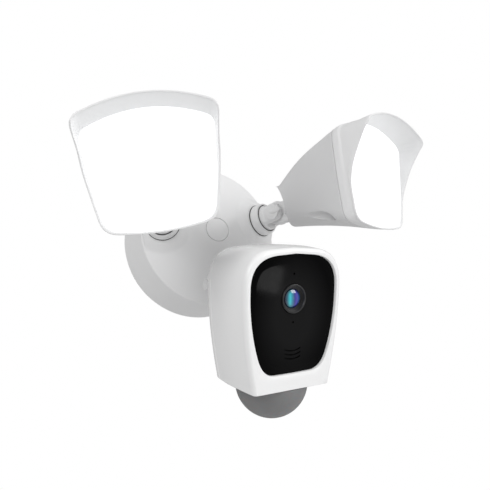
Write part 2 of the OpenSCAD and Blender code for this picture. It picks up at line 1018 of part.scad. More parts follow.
module rear_cover() {
    color("white")
        at_lens()
            difference() {
                union() {
                    difference() {
                        cover_form(0, -cam_depth);
                        cover_form(cam_wall, -cam_depth + cam_wall);
                    }
                    for (p = standoffs)
                        translate(p)
                            rod(standoff_r, -cam_depth + cam_wall / 2, cam_board_z - board_t);
                }
                for (p = bracket_screws)
                    translate(p)
                        rod(pilot_r + 0.3, -cam_depth - 1, seam);
                for (p = cam_posts)
                    translate(p) {
                        rod(screw_r + 0.2, -cam_depth - 1, seam + 1);
                        rod(screw_head_r + 0.3, -cam_depth - 1, -cam_depth + 1.2);
                    }
                translate([0, -button_down, 0])
                    rod(button_r + running, -cam_depth - 1, seam + 1);
            }
}

module cover_seal() {
    color("dimgray")
        at_lens()
            slab(seam, seam + seal_w)
                difference() {
                    polygon(cam_outline(cam_wall + 0.8, -0.8));
                    polygon(cam_outline(cam_wall + 0.8 + seal_w, -0.8));
                }
}

module cross_screw(len) {
    rod(pilot_r, 0, len);
    difference() {
        rod(screw_head_r, -screw_head_h, 0);
        slab(-screw_head_h - 1, -screw_head_h + 0.9) {
            square([3.6, 0.8], center = true);
            square([0.8, 3.6], center = true);
        }
    }
}

module cover_screws() {
    color("silver")
        at_lens() {
            for (p = cam_posts)
                translate([p[0], p[1], -cam_depth + 1.2])
                    cross_screw(cam_depth + seam + 8);
            for (p = bracket_screws)
                translate([p[0], p[1], -cam_depth - 3])
                    cross_screw(6);
        }
}

module speaker_slits() {
    bend_r = 16;
    for (d = slit_down)
        translate([0, -d + bend_r, 0])
            intersection() {
                difference() {
                    circle(r = bend_r + slit_t / 2);
                    circle(r = bend_r - slit_t / 2);
                }
                translate([-slit_half, -bend_r - 2])
                    square([2 * slit_half, 8]);
            }
}

module face_plate() {
    color("black")
        at_lens()
            difference() {
                slab(-plate_recess - plate_t, -plate_recess)
                    polygon(plate_outline(rim_w + plate_gap));
                rod(lens_ring_r + 0.05, -plate_recess - plate_t - 1, 1);
                translate([0, light_hole_up, 0])
                    rod(hole_r, -plate_recess - plate_t - 1, 1);
                translate([0, -mic_hole_down, 0])
                    rod(hole_r, -plate_recess - plate_t - 1, 1);
                slab(-plate_recess - plate_t - 1, 1)
                    speaker_slits();
            }
}

module lens_barrel() {
    color("black")
        at_lens()
            difference() {
                union() {
                    rod(lens_ring_r, -plate_recess - plate_t, -plate_recess + 1);
                    rod(barrel_r, barrel_back, -plate_recess - plate_t);
                }
                rod(lens_bore_r, barrel_back - 1, 0);
                translate([0, 0, -plate_recess - 1.2])
                    cylinder(r1 = lens_bore_r, r2 = lens_ring_r - 1, h = 2.3);
            }
}

module lens_glass() {
    bulge = 1.4;
    curve_r = (lens_bore_r * lens_bore_r + bulge * bulge) / (2 * bulge);
    color("midnightblue")
        at_lens()
            intersection() {
                rod(lens_bore_r - 0.02, -9, -plate_recess + 0.2);
                translate([0, 0, -plate_recess - curve_r])
                    sphere(r = curve_r);
            }
}

module main_board() {
    color("darkgreen")
        at_lens() {
            slab(cam_board_z - board_t, cam_board_z)
                translate([0, cam_board_up])
                    square([cam_board_w, cam_board_h], center = true);
            slab(cam_board_z, barrel_back)
                square(11, center = true);
            slab(cam_board_z - board_t - 2, cam_board_z - board_t)
                translate([0, -18])
                    square(16, center = true);
        }
}

module speaker() {
    color("dimgray")
        at_lens()
            translate([0, -38, 0]) {
                rod(10, -9.5, -plate_recess - plate_t - 0.2);
                rod(7, -13, -9.5);
            }
}

module motion_dome() {
    color("gray")
        at_lens()
            translate([0, -cam_down, dome_z])
                rotate([90, 0, 0]) {
                    intersection() {
                        difference() {
                            sphere(r = dome_r);
                            sphere(r = dome_r - dome_wall);
                        }
                        cylinder(r = 2 * dome_r, h = 2 * dome_r);
                    }
                    difference() {
                        translate([0, 0, -neck_ring_h])
                            cylinder(r = neck_ring_r, h = neck_ring_h + 3);
                        translate([0, 0, -neck_ring_h - 1])
                            cylinder(r = neck_ring_r - ring_wall, h = neck_ring_h + 5);
                    }
                    difference() {
                        cylinder(r = dome_r - 1, h = 1.6);
                        translate([0, 0, -1])
                            cylinder(r = neck_ring_r - ring_wall, h = 4);
                    }
                }
}

module sensor_board() {
    color("darkgreen")
        at_lens()
            translate([0, -cam_down, dome_z])
                rotate([90, 0, 0]) {
                    translate([0, 0, -neck_ring_h - board_t])
                        cylinder(r = neck_ring_r - 0.2, h = board_t);
                    translate([0, 0, -neck_ring_h])
                        cylinder(r = 4.6, h = 5);
                }
}

module card_cover() {
    color("lightgray")
        at_lens()
            translate([0, -33, 0])
                slab(-cam_depth - 1.4, -cam_depth)
                    rounded_plate(24, 9, 3);
}

module reset_button() {
    color("lightgray")
        at_lens()
            translate([0, -button_down, 0])
                rod(button_r, -cam_depth - button_proud, -cam_depth + cam_wall + 2);
}

from_wall() {
    wall_gasket();
    mounting_strap();
    base_housing();
    center_screw();
    center_cap();
    driver_board();
    driver_parts();
    terminal_block();
    board_screws();
    arm_seals();
    collar(-1);  // left_collar
    collar(1);  // right_collar
    arm(-1);  // left_arm
    arm(1);  // right_arm
    arm_nut(-1);  // left_arm_nut
    arm_nut(1);  // right_arm_nut
    knuckle_bolt(-1);  // left_knuckle_bolt
    knuckle_bolt(1);  // right_knuckle_bolt
    knuckle_nut(-1);  // left_knuckle_nut
    knuckle_nut(1);  // right_knuckle_nut
    bracket(-1);  // left_bracket
    bracket(1);  // right_bracket
    rear_shell(-1);  // left_rear_shell
    rear_shell(1);  // right_rear_shell
    heat_sink(-1);  // left_heat_sink
    heat_sink(1);  // right_heat_sink
    led_board(-1);  // left_led_board
    led_board(1);  // right_led_board
    leds(-1);  // left_leds
    leds(1);  // right_leds
    reflector(-1);  // left_reflector
    reflector(1);  // right_reflector
    lens_gasket(-1);  // left_lens_gasket
    lens_gasket(1);  // right_lens_gasket
    diffuser(-1);  // left_diffuser
    diffuser(1);  // right_diffuser
    bezel(-1);  // left_bezel
    bezel(1);  // right_bezel
    shell_screws(-1);  // left_shell_screws
    shell_screws(1);  // right_shell_screws
    camera_arm();
    camera_arm_screws();
    pan_pin();
    pan_block();
    camera_bracket();
    tilt_bolt();
    tilt_nut();
    rear_cover();
    cover_seal();
    cover_screws();
    front_housing();
    face_plate();
    lens_barrel();
    lens_glass();
    main_board();
    speaker();
    motion_dome();
    sensor_board();
    card_cover();
    reset_button();
}
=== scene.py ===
# %% [markdown]
# A floodlight camera for a wall: a round domed base, two hooded light heads on
# swivel arms, and a white camera with a black face and a grey motion sensor dome.
# Everything is placed from the frame that the solid model gives, in metres. Each
# moving piece is first drawn in its own local space, in millimetres, with x to the
# right, y up and z out of the front, and a matrix carries it to its place. That
# keeps the numbers easy to read, and the same drawing serves both light heads.

# %% Load the frame
import bpy, json, math
from mathutils import Matrix, Vector


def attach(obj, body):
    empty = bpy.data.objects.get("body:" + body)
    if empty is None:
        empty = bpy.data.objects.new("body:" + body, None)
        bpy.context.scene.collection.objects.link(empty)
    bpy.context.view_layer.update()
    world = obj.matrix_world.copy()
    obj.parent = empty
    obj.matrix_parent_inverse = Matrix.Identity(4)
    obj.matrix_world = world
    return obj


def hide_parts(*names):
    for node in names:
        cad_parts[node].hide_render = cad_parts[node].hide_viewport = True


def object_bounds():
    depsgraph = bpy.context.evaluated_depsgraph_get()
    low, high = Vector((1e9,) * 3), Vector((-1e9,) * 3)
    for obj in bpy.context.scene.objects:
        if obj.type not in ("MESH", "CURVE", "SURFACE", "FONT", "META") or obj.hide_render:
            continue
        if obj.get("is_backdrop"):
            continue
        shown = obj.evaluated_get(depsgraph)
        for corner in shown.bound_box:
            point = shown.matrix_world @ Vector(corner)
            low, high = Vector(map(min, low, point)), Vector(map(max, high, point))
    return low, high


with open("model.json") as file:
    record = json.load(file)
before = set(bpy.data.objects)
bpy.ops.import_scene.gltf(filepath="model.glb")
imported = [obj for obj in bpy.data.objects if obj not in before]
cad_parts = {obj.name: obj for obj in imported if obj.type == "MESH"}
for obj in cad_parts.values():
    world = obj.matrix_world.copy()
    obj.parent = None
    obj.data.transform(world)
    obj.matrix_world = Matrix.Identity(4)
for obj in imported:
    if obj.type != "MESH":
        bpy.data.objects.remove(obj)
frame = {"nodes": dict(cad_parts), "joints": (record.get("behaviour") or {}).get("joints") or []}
cad_low, cad_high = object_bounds()
JOINT = {j["name"]: j for j in frame["joints"]}
NODE = frame["nodes"]
SIDES = {"left": -1, "right": 1}

# %% [markdown]
# The local spaces. An arm's space has z along the arm, which is the axis of its
# swivel joint. A light head's space starts at the knuckle, tilts down a little, and
# has its origin in the middle of the glowing panel. The camera's space has its
# origin on the lens axis in the plane of the housing's front edge.

# %% Local spaces
MM = Matrix.Scale(0.001, 4)
HEAD_TILT, HEAD_LIFT, HEAD_REACH = {"left": 7.5, "right": 9.5}, 4.5, 92.5
CAM_TILT, CAM_DROP, CAM_REACH = 20.6, 2.4, 75.0

def outward(pos, turn):
    c, s = math.cos(turn), math.sin(turn)
    basis = Matrix(((c, 0, s, 0), (s, 0, -c, 0), (0, 1, 0, 0), (0, 0, 0, 1)))
    return Matrix.Translation(Vector(pos)) @ basis

def arm_space(joint_name):
    j = JOINT[joint_name]
    return outward(j["pos_m"], math.atan2(j["axis"][0], -j["axis"][1])) @ MM

def knuckle_space(joint_name):
    j = JOINT[joint_name]
    return outward(j["pos_m"], math.atan2(j["axis"][1], j["axis"][0]))

def head_space(side):
    tip = Matrix.Rotation(math.radians(HEAD_TILT[side]), 4, "X")
    return knuckle_space(side + "_tilt") @ tip @ MM @ Matrix.Translation((0, HEAD_LIFT, HEAD_REACH))

def camera_space():
    tip = Matrix.Rotation(math.radians(CAM_TILT), 4, "X")
    return knuckle_space("camera_tilt") @ tip @ MM @ Matrix.Translation((0, -CAM_DROP, CAM_REACH))

ROOT = Matrix(((1, 0, 0, 0), (0, 0, -1, 0), (0, 1, 0, 0), (0, 0, 0, 1))) @ MM
HEAD = {side: head_space(side) for side in SIDES}
LENS = camera_space()
print("lens at", [round(v, 4) for v in LENS.to_translation()])

# %% [markdown]
# Finishes. A moulded plastic is never one flat value: the tool's spark-eroded
# surface gives it a fine grain, its gloss drifts a little from place to place, and
# its colour is a touch uneven. The helper below makes that from two noise patterns
# in real size. A value that is the same all over sits on the shader's own socket.

# %% Material helper
def new_material(name):
    mat = bpy.data.materials.new(name)
    mat.use_nodes = True
    nt = mat.node_tree
    shader = next(n for n in nt.nodes if n.type == "BSDF_PRINCIPLED")
    coord = nt.nodes.new("ShaderNodeTexCoord")
    return mat, nt, shader, coord.outputs["Object"]

def noise(nt, coord, scale, detail=3.0, rough=0.55):
    n = nt.nodes.new("ShaderNodeTexNoise")
    n.inputs["Scale"].default_value = scale
    n.inputs["Detail"].default_value = detail
    n.inputs["Roughness"].default_value = rough
    nt.links.new(coord, n.inputs["Vector"])
    return n.outputs["Fac"]

def ranged(nt, value, low, high, start=0.3, end=0.7):
    m = nt.nodes.new("ShaderNodeMapRange")
    m.inputs["From Min"].default_value = start
    m.inputs["From Max"].default_value = end
    m.inputs["To Min"].default_value = low
    m.inputs["To Max"].default_value = high
    nt.links.new(value, m.inputs["Value"])
    return m.outputs["Result"]

def two_tone(nt, fac, dark, light):
    m = nt.nodes.new("ShaderNodeMix")
    m.data_type = "RGBA"
    m.inputs["A"].default_value = (*dark, 1)
    m.inputs["B"].default_value = (*light, 1)
    nt.links.new(fac, m.inputs["Factor"])
    return m.outputs["Result"]

def bumped(nt, shader, height, depth, strength=1.0):
    b = nt.nodes.new("ShaderNodeBump")
    b.inputs["Distance"].default_value = depth
    b.inputs["Strength"].default_value = strength
    nt.links.new(height, b.inputs["Height"])
    nt.links.new(b.outputs["Normal"], shader.inputs["Normal"])

def moulded(name, colour, rough, grain=2600, depth=0.00003, drift=0.02, metallic=0.0, coat=0.0, spec=0.5):
    mat, nt, shader, coord = new_material(name)
    dark = [max(0, c * (1 - drift)) for c in colour]
    light = [min(1, c * (1 + drift)) for c in colour]
    nt.links.new(two_tone(nt, noise(nt, coord, 38), dark, light), shader.inputs["Base Color"])
    nt.links.new(ranged(nt, noise(nt, coord, 110, 5), rough * 0.88, rough * 1.12), shader.inputs["Roughness"])
    bumped(nt, shader, noise(nt, coord, grain, 2), depth)
    shader.inputs["Metallic"].default_value = metallic
    shader.inputs["Coat Weight"].default_value = coat
    shader.inputs["Specular IOR Level"].default_value = spec
    mat.diffuse_color = (*colour, 1)
    return mat

# %% White shell plastic, its painted-shade copy, and the plain finishes
white = moulded("white_shell_plastic", (0.82, 0.82, 0.823), 0.34, depth=0.000025, drift=0.012)
# painted shade: a darker copy of the white shell plastic for the light heads' hood shells, standing in for the shade on
# their flanks
white_painted_shade = moulded("white_lamp_plastic", (0.70, 0.70, 0.704), 0.34, depth=0.000025, drift=0.012)
white_gloss = moulded("white_camera_plastic", (0.92, 0.92, 0.922), 0.2, depth=0.000012, drift=0.01, coat=0.15)
black_satin = moulded("black_satin_plastic", (0.012, 0.012, 0.013), 0.32, drift=0.15)
foam = moulded("closed_cell_foam", (0.055, 0.055, 0.058), 0.85, grain=900, depth=0.0002, drift=0.2)
rubber = moulded("soft_seal_rubber", (0.03, 0.03, 0.031), 0.6, grain=1500, depth=0.00005, drift=0.15)
soft_gray = moulded("grey_flap_rubber", (0.42, 0.42, 0.425), 0.55, grain=1800, depth=0.00004)
reflector_white = moulded("bright_reflector", (0.88, 0.88, 0.88), 0.25, drift=0.01)
ivory = moulded("ivory_terminal_plastic", (0.68, 0.64, 0.54), 0.4, drift=0.04)
parts_dark = moulded("component_bodies", (0.05, 0.05, 0.06), 0.4, grain=700, drift=0.35)
board_white = moulded("white_solder_mask", (0.78, 0.78, 0.75), 0.4, grain=1400)
print("plain finishes:", len(bpy.data.materials))

# %% [markdown]
# Metals. Zinc plate shows fine drawn lines along the strip, so its noise is
# stretched along one axis. The extruded heat sink has the same lines but brighter.

# %% Metal finishes
def drawn_metal(name, colour, rough, stretch=(12, 900, 900), depth=0.00003):
    mat, nt, shader, coord = new_material(name)
    m = nt.nodes.new("ShaderNodeMapping")
    m.inputs["Scale"].default_value = stretch
    nt.links.new(coord, m.inputs["Vector"])
    lines = noise(nt, m.outputs["Vector"], 1.0, 4)
    spangle = noise(nt, coord, 220, 2)
    nt.links.new(two_tone(nt, spangle, [c * 0.86 for c in colour], colour), shader.inputs["Base Color"])
    nt.links.new(ranged(nt, lines, rough * 0.75, rough * 1.3), shader.inputs["Roughness"])
    bumped(nt, shader, lines, depth)
    shader.inputs["Metallic"].default_value = 1.0
    mat.diffuse_color = (*colour, 1)
    return mat

zinc = drawn_metal("zinc_plated_steel", (0.62, 0.62, 0.6), 0.36)
screw_steel = drawn_metal("plated_screw_steel", (0.58, 0.58, 0.58), 0.28, (300, 300, 300), 0.00001)
sink_metal = drawn_metal("extruded_aluminium", (0.76, 0.77, 0.78), 0.32, (900, 900, 20))

# %% [markdown]
# The light panel. It is a frosted sheet lit from behind by a field of small chips,
# and it is so bright that it reads as clean white. A fine stipple spreads the light.

# %% Glowing panel, and the lit chips
def glowing(name, colour, strength):
    mat, nt, shader, coord = new_material(name)
    v = nt.nodes.new("ShaderNodeTexVoronoi")
    v.inputs["Scale"].default_value = 900
    nt.links.new(coord, v.inputs["Vector"])
    bumped(nt, shader, v.outputs["Distance"], 0.00008)
    nt.links.new(ranged(nt, noise(nt, coord, 60, 2), 0.42, 0.55), shader.inputs["Roughness"])
    shader.inputs["Base Color"].default_value = (*[c * 0.25 for c in colour], 1)
    shader.inputs["Emission Color"].default_value = (*colour, 1)
    shader.inputs["Emission Strength"].default_value = strength
    mat.diffuse_color = (*colour, 1)
    return mat

panel_glow = glowing("lit_frosted_panel", (0.98, 0.99, 1.0), 1.02)
chip_glow = glowing("light_chip_resin", (1.0, 0.86, 0.45), 0.4)

# %% [markdown]
# The camera's face is a sheet of smoked gloss plastic. Its rim is pure black, and a
# tall oval in the middle is painted a little lighter: painted light, standing in for
# the brighter shading of a domed middle that the flat plate does not have.

# %% Smoked face plate
def smoked_face(name, space):
    mat, nt, shader, coord = new_material(name)
    m = nt.nodes.new("ShaderNodeMapping")
    centre = space @ Vector((0.5, -11, -2))
    tilt = (space.to_3x3().normalized()).to_euler()
    m.vector_type = "TEXTURE"
    m.inputs["Location"].default_value = centre
    m.inputs["Rotation"].default_value = tilt
    m.inputs["Scale"].default_value = (0.034, 0.044, 0.5)
    nt.links.new(coord, m.inputs["Vector"])
    length = nt.nodes.new("ShaderNodeVectorMath")
    length.operation = "LENGTH"
    nt.links.new(m.outputs["Vector"], length.inputs[0])
    # painted light: the tall oval in the middle is painted lighter than the black rim
    inside = ranged(nt, length.outputs["Value"], 1.0, 0.0, 0.45, 1.0)
    nt.links.new(two_tone(nt, inside, (0.0004, 0.0004, 0.0005), (0.0095, 0.0095, 0.0098)), shader.inputs["Base Color"])
    nt.links.new(ranged(nt, noise(nt, coord, 160, 4), 0.05, 0.085), shader.inputs["Roughness"])
    bumped(nt, shader, noise(nt, coord, 70, 2), 0.00001, 0.3)
    shader.inputs["Specular IOR Level"].default_value = 0.06
    mat.diffuse_color = (0.01, 0.01, 0.01, 1)
    return mat

face_black = smoked_face("smoked_gloss_face", LENS)

# %% [markdown]
# A real coating reflects teal from one side and violet from the other,
# because the curved surface meets the coating at another angle. Here that is a
# painted reflection: teal and violet colour across the glass in the camera's own space,
# darkened towards the rim as painted shade, and glowing faintly, under a clear gloss coat.

# %% Lens with painted reflection, and the sensor dome
def painted_reflection_lens(name, space):
    mat, nt, shader, coord = new_material(name)
    m = nt.nodes.new("ShaderNodeMapping")
    m.vector_type = "TEXTURE"
    m.inputs["Location"].default_value = space @ Vector((0, 0, -3))
    m.inputs["Rotation"].default_value = (space.to_3x3().normalized()).to_euler()
    m.inputs["Scale"].default_value = (0.007, 0.007, 0.007)
    nt.links.new(coord, m.inputs["Vector"])
    split = nt.nodes.new("ShaderNodeSeparateXYZ")
    nt.links.new(m.outputs["Vector"], split.inputs[0])
    # painted reflection: teal and violet colour laid across the glass from side to side
    across = nt.nodes.new("ShaderNodeValToRGB")
    stops = [(0.0, (0.004, 0.02, 0.05)), (0.14, (0.01, 0.10, 0.16)), (0.3, (0.02, 0.40, 0.46)), (0.42, (0.01, 0.16, 0.26)),
             (0.55, (0.01, 0.02, 0.16)), (0.68, (0.03, 0.02, 0.30)), (0.8, (0.015, 0.04, 0.2)), (0.9, (0.03, 0.12, 0.42)), (1.0, (0.005, 0.008, 0.03))]
    ramp = across.color_ramp
    ramp.elements[0].position, ramp.elements[0].color = stops[0][0], (*stops[0][1], 1)
    ramp.elements[1].position, ramp.elements[1].color = stops[-1][0], (*stops[-1][1], 1)
    for place, colour in stops[1:-1]:
        ramp.elements.new(place).color = (*colour, 1)
    nt.links.new(ranged(nt, split.outputs["X"], 0.0, 1.0, -1.0, 1.0), across.inputs["Fac"])
    radius = nt.nodes.new("ShaderNodeVectorMath")
    radius.operation = "LENGTH"
    nt.links.new(m.outputs["Vector"], radius.inputs[0])
    # painted shade: the glass darkens towards its rim
    edge = ranged(nt, radius.outputs["Value"], 1.0, 0.0, 0.62, 0.95)
    mix = nt.nodes.new("ShaderNodeMix")
    mix.data_type = "RGBA"
    mix.inputs["A"].default_value = (0.004, 0.006, 0.02, 1)
    nt.links.new(across.outputs["Color"], mix.inputs["B"])
    nt.links.new(edge, mix.inputs["Factor"])
    nt.links.new(mix.outputs["Result"], shader.inputs["Base Color"])
    # the painted reflection also glows, though the lens is no lamp
    nt.links.new(mix.outputs["Result"], shader.inputs["Emission Color"])
    shader.inputs["Emission Strength"].default_value = 0.35
    nt.links.new(ranged(nt, noise(nt, coord, 400, 2), 0.02, 0.04), shader.inputs["Roughness"])
    shader.inputs["Coat Weight"].default_value = 1.0
    shader.inputs["Coat Roughness"].default_value = 0.02
    mat.diffuse_color = (0.02, 0.1, 0.2, 1)
    return mat

lens_painted_reflection = painted_reflection_lens("coated_lens_glass", LENS)
dome_gray = moulded("grey_sensor_dome", (0.2, 0.2, 0.202), 0.42, grain=500, depth=0.00008, drift=0.03)
dome_gray.node_tree.nodes["Principled BSDF"].inputs["Subsurface Weight"].default_value = 0.15
dome_gray.node_tree.nodes["Principled BSDF"].inputs["Subsurface Scale"].default_value = 0.004

# %% [markdown]
# Circuit boards: green solder mask with copper tracks under it, which show as
# slightly lighter, raised lines. A brick pattern with thin joints gives straight
# tracks that meet at right angles.

# %% Circuit board
def solder_mask(name):
    mat, nt, shader, coord = new_material(name)
    b = nt.nodes.new("ShaderNodeTexBrick")
    b.inputs["Color1"].default_value = (0.008, 0.085, 0.03, 1)
    b.inputs["Color2"].default_value = (0.01, 0.1, 0.036, 1)
    b.inputs["Mortar"].default_value = (0.03, 0.2, 0.08, 1)
    b.inputs["Scale"].default_value = 150
    b.inputs["Mortar Size"].default_value = 0.03
    turn = nt.nodes.new("ShaderNodeMapping")
    turn.inputs["Rotation"].default_value = (math.radians(90), 0, 0)
    nt.links.new(coord, turn.inputs["Vector"])
    nt.links.new(turn.outputs["Vector"], b.inputs["Vector"])
    nt.links.new(b.outputs["Color"], shader.inputs["Base Color"])
    nt.links.new(ranged(nt, noise(nt, coord, 300), 0.22, 0.34), shader.inputs["Roughness"])
    bumped(nt, shader, b.outputs["Fac"], 0.00003)
    return mat

board_green = solder_mask("green_solder_mask")

# %% [markdown]
# Mesh helpers. A skin joins rings that all have the same number of points. It is
# how the shells are made, because each shell is one outline that changes from
# station to station. A turned piece is the same thing with round rings.

# %% Skins and turned pieces
def finish_mesh(me, sharp=32):
    me.validate()
    for p in me.polygons:
        p.use_smooth = True
    me.set_sharp_from_angle(angle=math.radians(sharp))

def outward_faces(me):
    import bmesh
    bm = bmesh.new()
    bm.from_mesh(me)
    bmesh.ops.remove_doubles(bm, verts=bm.verts, dist=1e-5)
    bmesh.ops.recalc_face_normals(bm, faces=bm.faces)
    bm.to_mesh(me)
    bm.free()

def skin(name, rings, wrap=False, caps=(True, True)):
    n, m = len(rings[0]), len(rings)
    verts = [p for ring in rings for p in ring]
    faces = [(i * n + k, i * n + (k + 1) % n, ((i + 1) % m) * n + (k + 1) % n, ((i + 1) % m) * n + k)
             for i in range(m if wrap else m - 1) for k in range(n)]
    if not wrap and caps[0]:
        faces.append(tuple(range(n)))
    if not wrap and caps[1]:
        faces.append(tuple((m - 1) * n + k for k in range(n)))
    me = bpy.data.meshes.new(name)
    me.from_pydata([tuple(v) for v in verts], [], faces)
    outward_faces(me)
    return me

def turned_rings(profile, segments=96, centre=(0, 0)):
    return [[(centre[0] + r * math.cos(2 * math.pi * k / segments), centre[1] + r * math.sin(2 * math.pi * k / segments), z)
             for k in range(segments)] for r, z in profile]

def corner(r0, z0, r1, z1, steps=5, bulge_r=None, bulge_z=None):
    """A quarter-round from one profile point to the next, bulging to the given corner."""
    br, bz = (r1 if bulge_r is None else bulge_r), (z0 if bulge_z is None else bulge_z)
    pts = []
    for i in range(steps + 1):
        t = i / steps
        pts.append(((1 - t) ** 2 * r0 + 2 * t * (1 - t) * br + t * t * r1, (1 - t) ** 2 * z0 + 2 * t * (1 - t) * bz + t * t * z1))
    return pts

def piece(name, me, space, body, material, replaces=(), sharp=32):
    me.name = name
    me.transform(space)
    finish_mesh(me, sharp)
    ob = bpy.data.objects.new(name, me)
    bpy.context.scene.collection.objects.link(ob)
    me.materials.clear()
    me.materials.append(material)
    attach(ob, body)
    if replaces:
        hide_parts(*replaces)
    return ob

def joined(meshes, name):
    import bmesh
    bm = bmesh.new()
    for me in meshes:
        bm.from_mesh(me)
    out = bpy.data.meshes.new(name)
    bm.to_mesh(out)
    bm.free()
    return out

# %% Boolean cuts
def cut(me, cutter, how="DIFFERENCE"):
    a = bpy.data.objects.new("work", me)
    b = bpy.data.objects.new("tool", cutter)
    for o in (a, b):
        bpy.context.scene.collection.objects.link(o)
    mod = a.modifiers.new("cut", "BOOLEAN")
    mod.solver = "EXACT"
    mod.use_self = False
    mod.operation = how
    mod.object = b
    bpy.context.view_layer.update()
    out = bpy.data.meshes.new_from_object(a.evaluated_get(bpy.context.evaluated_depsgraph_get()))
    bpy.data.objects.remove(a)
    bpy.data.objects.remove(b)
    return out

# %% [markdown]
# Some small castings, such as the arms and brackets, have the right shape in the
# solid model but knife-sharp edges. A copy of the solid is remeshed into small even
# cells and relaxed, which rounds every edge by a few tenths of a millimetre, as a
# mould does.

# %% Soft-edged castings from the solid model
def softened(name, node, body, material, cell=0.0005, relax=6):
    import bmesh
    bm = bmesh.new()
    bm.from_mesh(NODE[node].data)
    bmesh.ops.remove_doubles(bm, verts=bm.verts, dist=1e-6)
    me = bpy.data.meshes.new(name)
    bm.to_mesh(me)
    bm.free()
    ob = bpy.data.objects.new("work", me)
    bpy.context.scene.collection.objects.link(ob)
    r = ob.modifiers.new("cells", "REMESH")
    r.mode = "VOXEL"
    r.voxel_size = cell
    s = ob.modifiers.new("relax", "SMOOTH")
    s.factor = 0.5
    s.iterations = relax
    bpy.context.view_layer.update()
    out = bpy.data.meshes.new_from_object(ob.evaluated_get(bpy.context.evaluated_depsgraph_get()))
    bpy.data.objects.remove(ob)
    return piece(name, out, Matrix.Identity(4), body, material, (node,), sharp=60)

# %% [markdown]
# Geometry Nodes trees. Screws, light chips, cooling fins and the speaker's slits
# all repeat, so each is one tree with named sizes. The tree is run on a small point
# or empty mesh, its result is taken as a plain mesh, and the modifier is dropped.

# %% Node tree helper
def tree(name, inputs):
    g = bpy.data.node_groups.new(name, "GeometryNodeTree")
    g.interface.new_socket("Geometry", in_out="INPUT", socket_type="NodeSocketGeometry")
    ids = {}
    for label, kind, value in inputs:
        s = g.interface.new_socket(label, in_out="INPUT", socket_type="NodeSocket" + kind)
        if kind != "Material":
            s.default_value = value
        ids[label] = s.identifier
    g.interface.new_socket("Geometry", in_out="OUTPUT", socket_type="NodeSocketGeometry")
    return g, ids, g.nodes.new("NodeGroupInput"), g.nodes.new("NodeGroupOutput")

def add(g, kind, links=(), **values):
    n = g.nodes.new(kind)
    for key, v in values.items():
        if hasattr(n, key):
            setattr(n, key, v)
    for source, socket in links:
        g.links.new(source, n.inputs[socket])
    return n

def run_tree(g, ids, values, points=((0, 0, 0),)):
    me = bpy.data.meshes.new("seed")
    me.from_pydata(list(points), [], [])
    ob = bpy.data.objects.new("seed", me)
    bpy.context.scene.collection.objects.link(ob)
    mod = ob.modifiers.new("tree", "NODES")
    mod.node_group = g
    for label, v in values.items():
        mod[ids[label]] = v
    bpy.context.view_layer.update()
    out = bpy.data.meshes.new_from_object(ob.evaluated_get(bpy.context.evaluated_depsgraph_get()))
    bpy.data.objects.remove(ob)
    return out

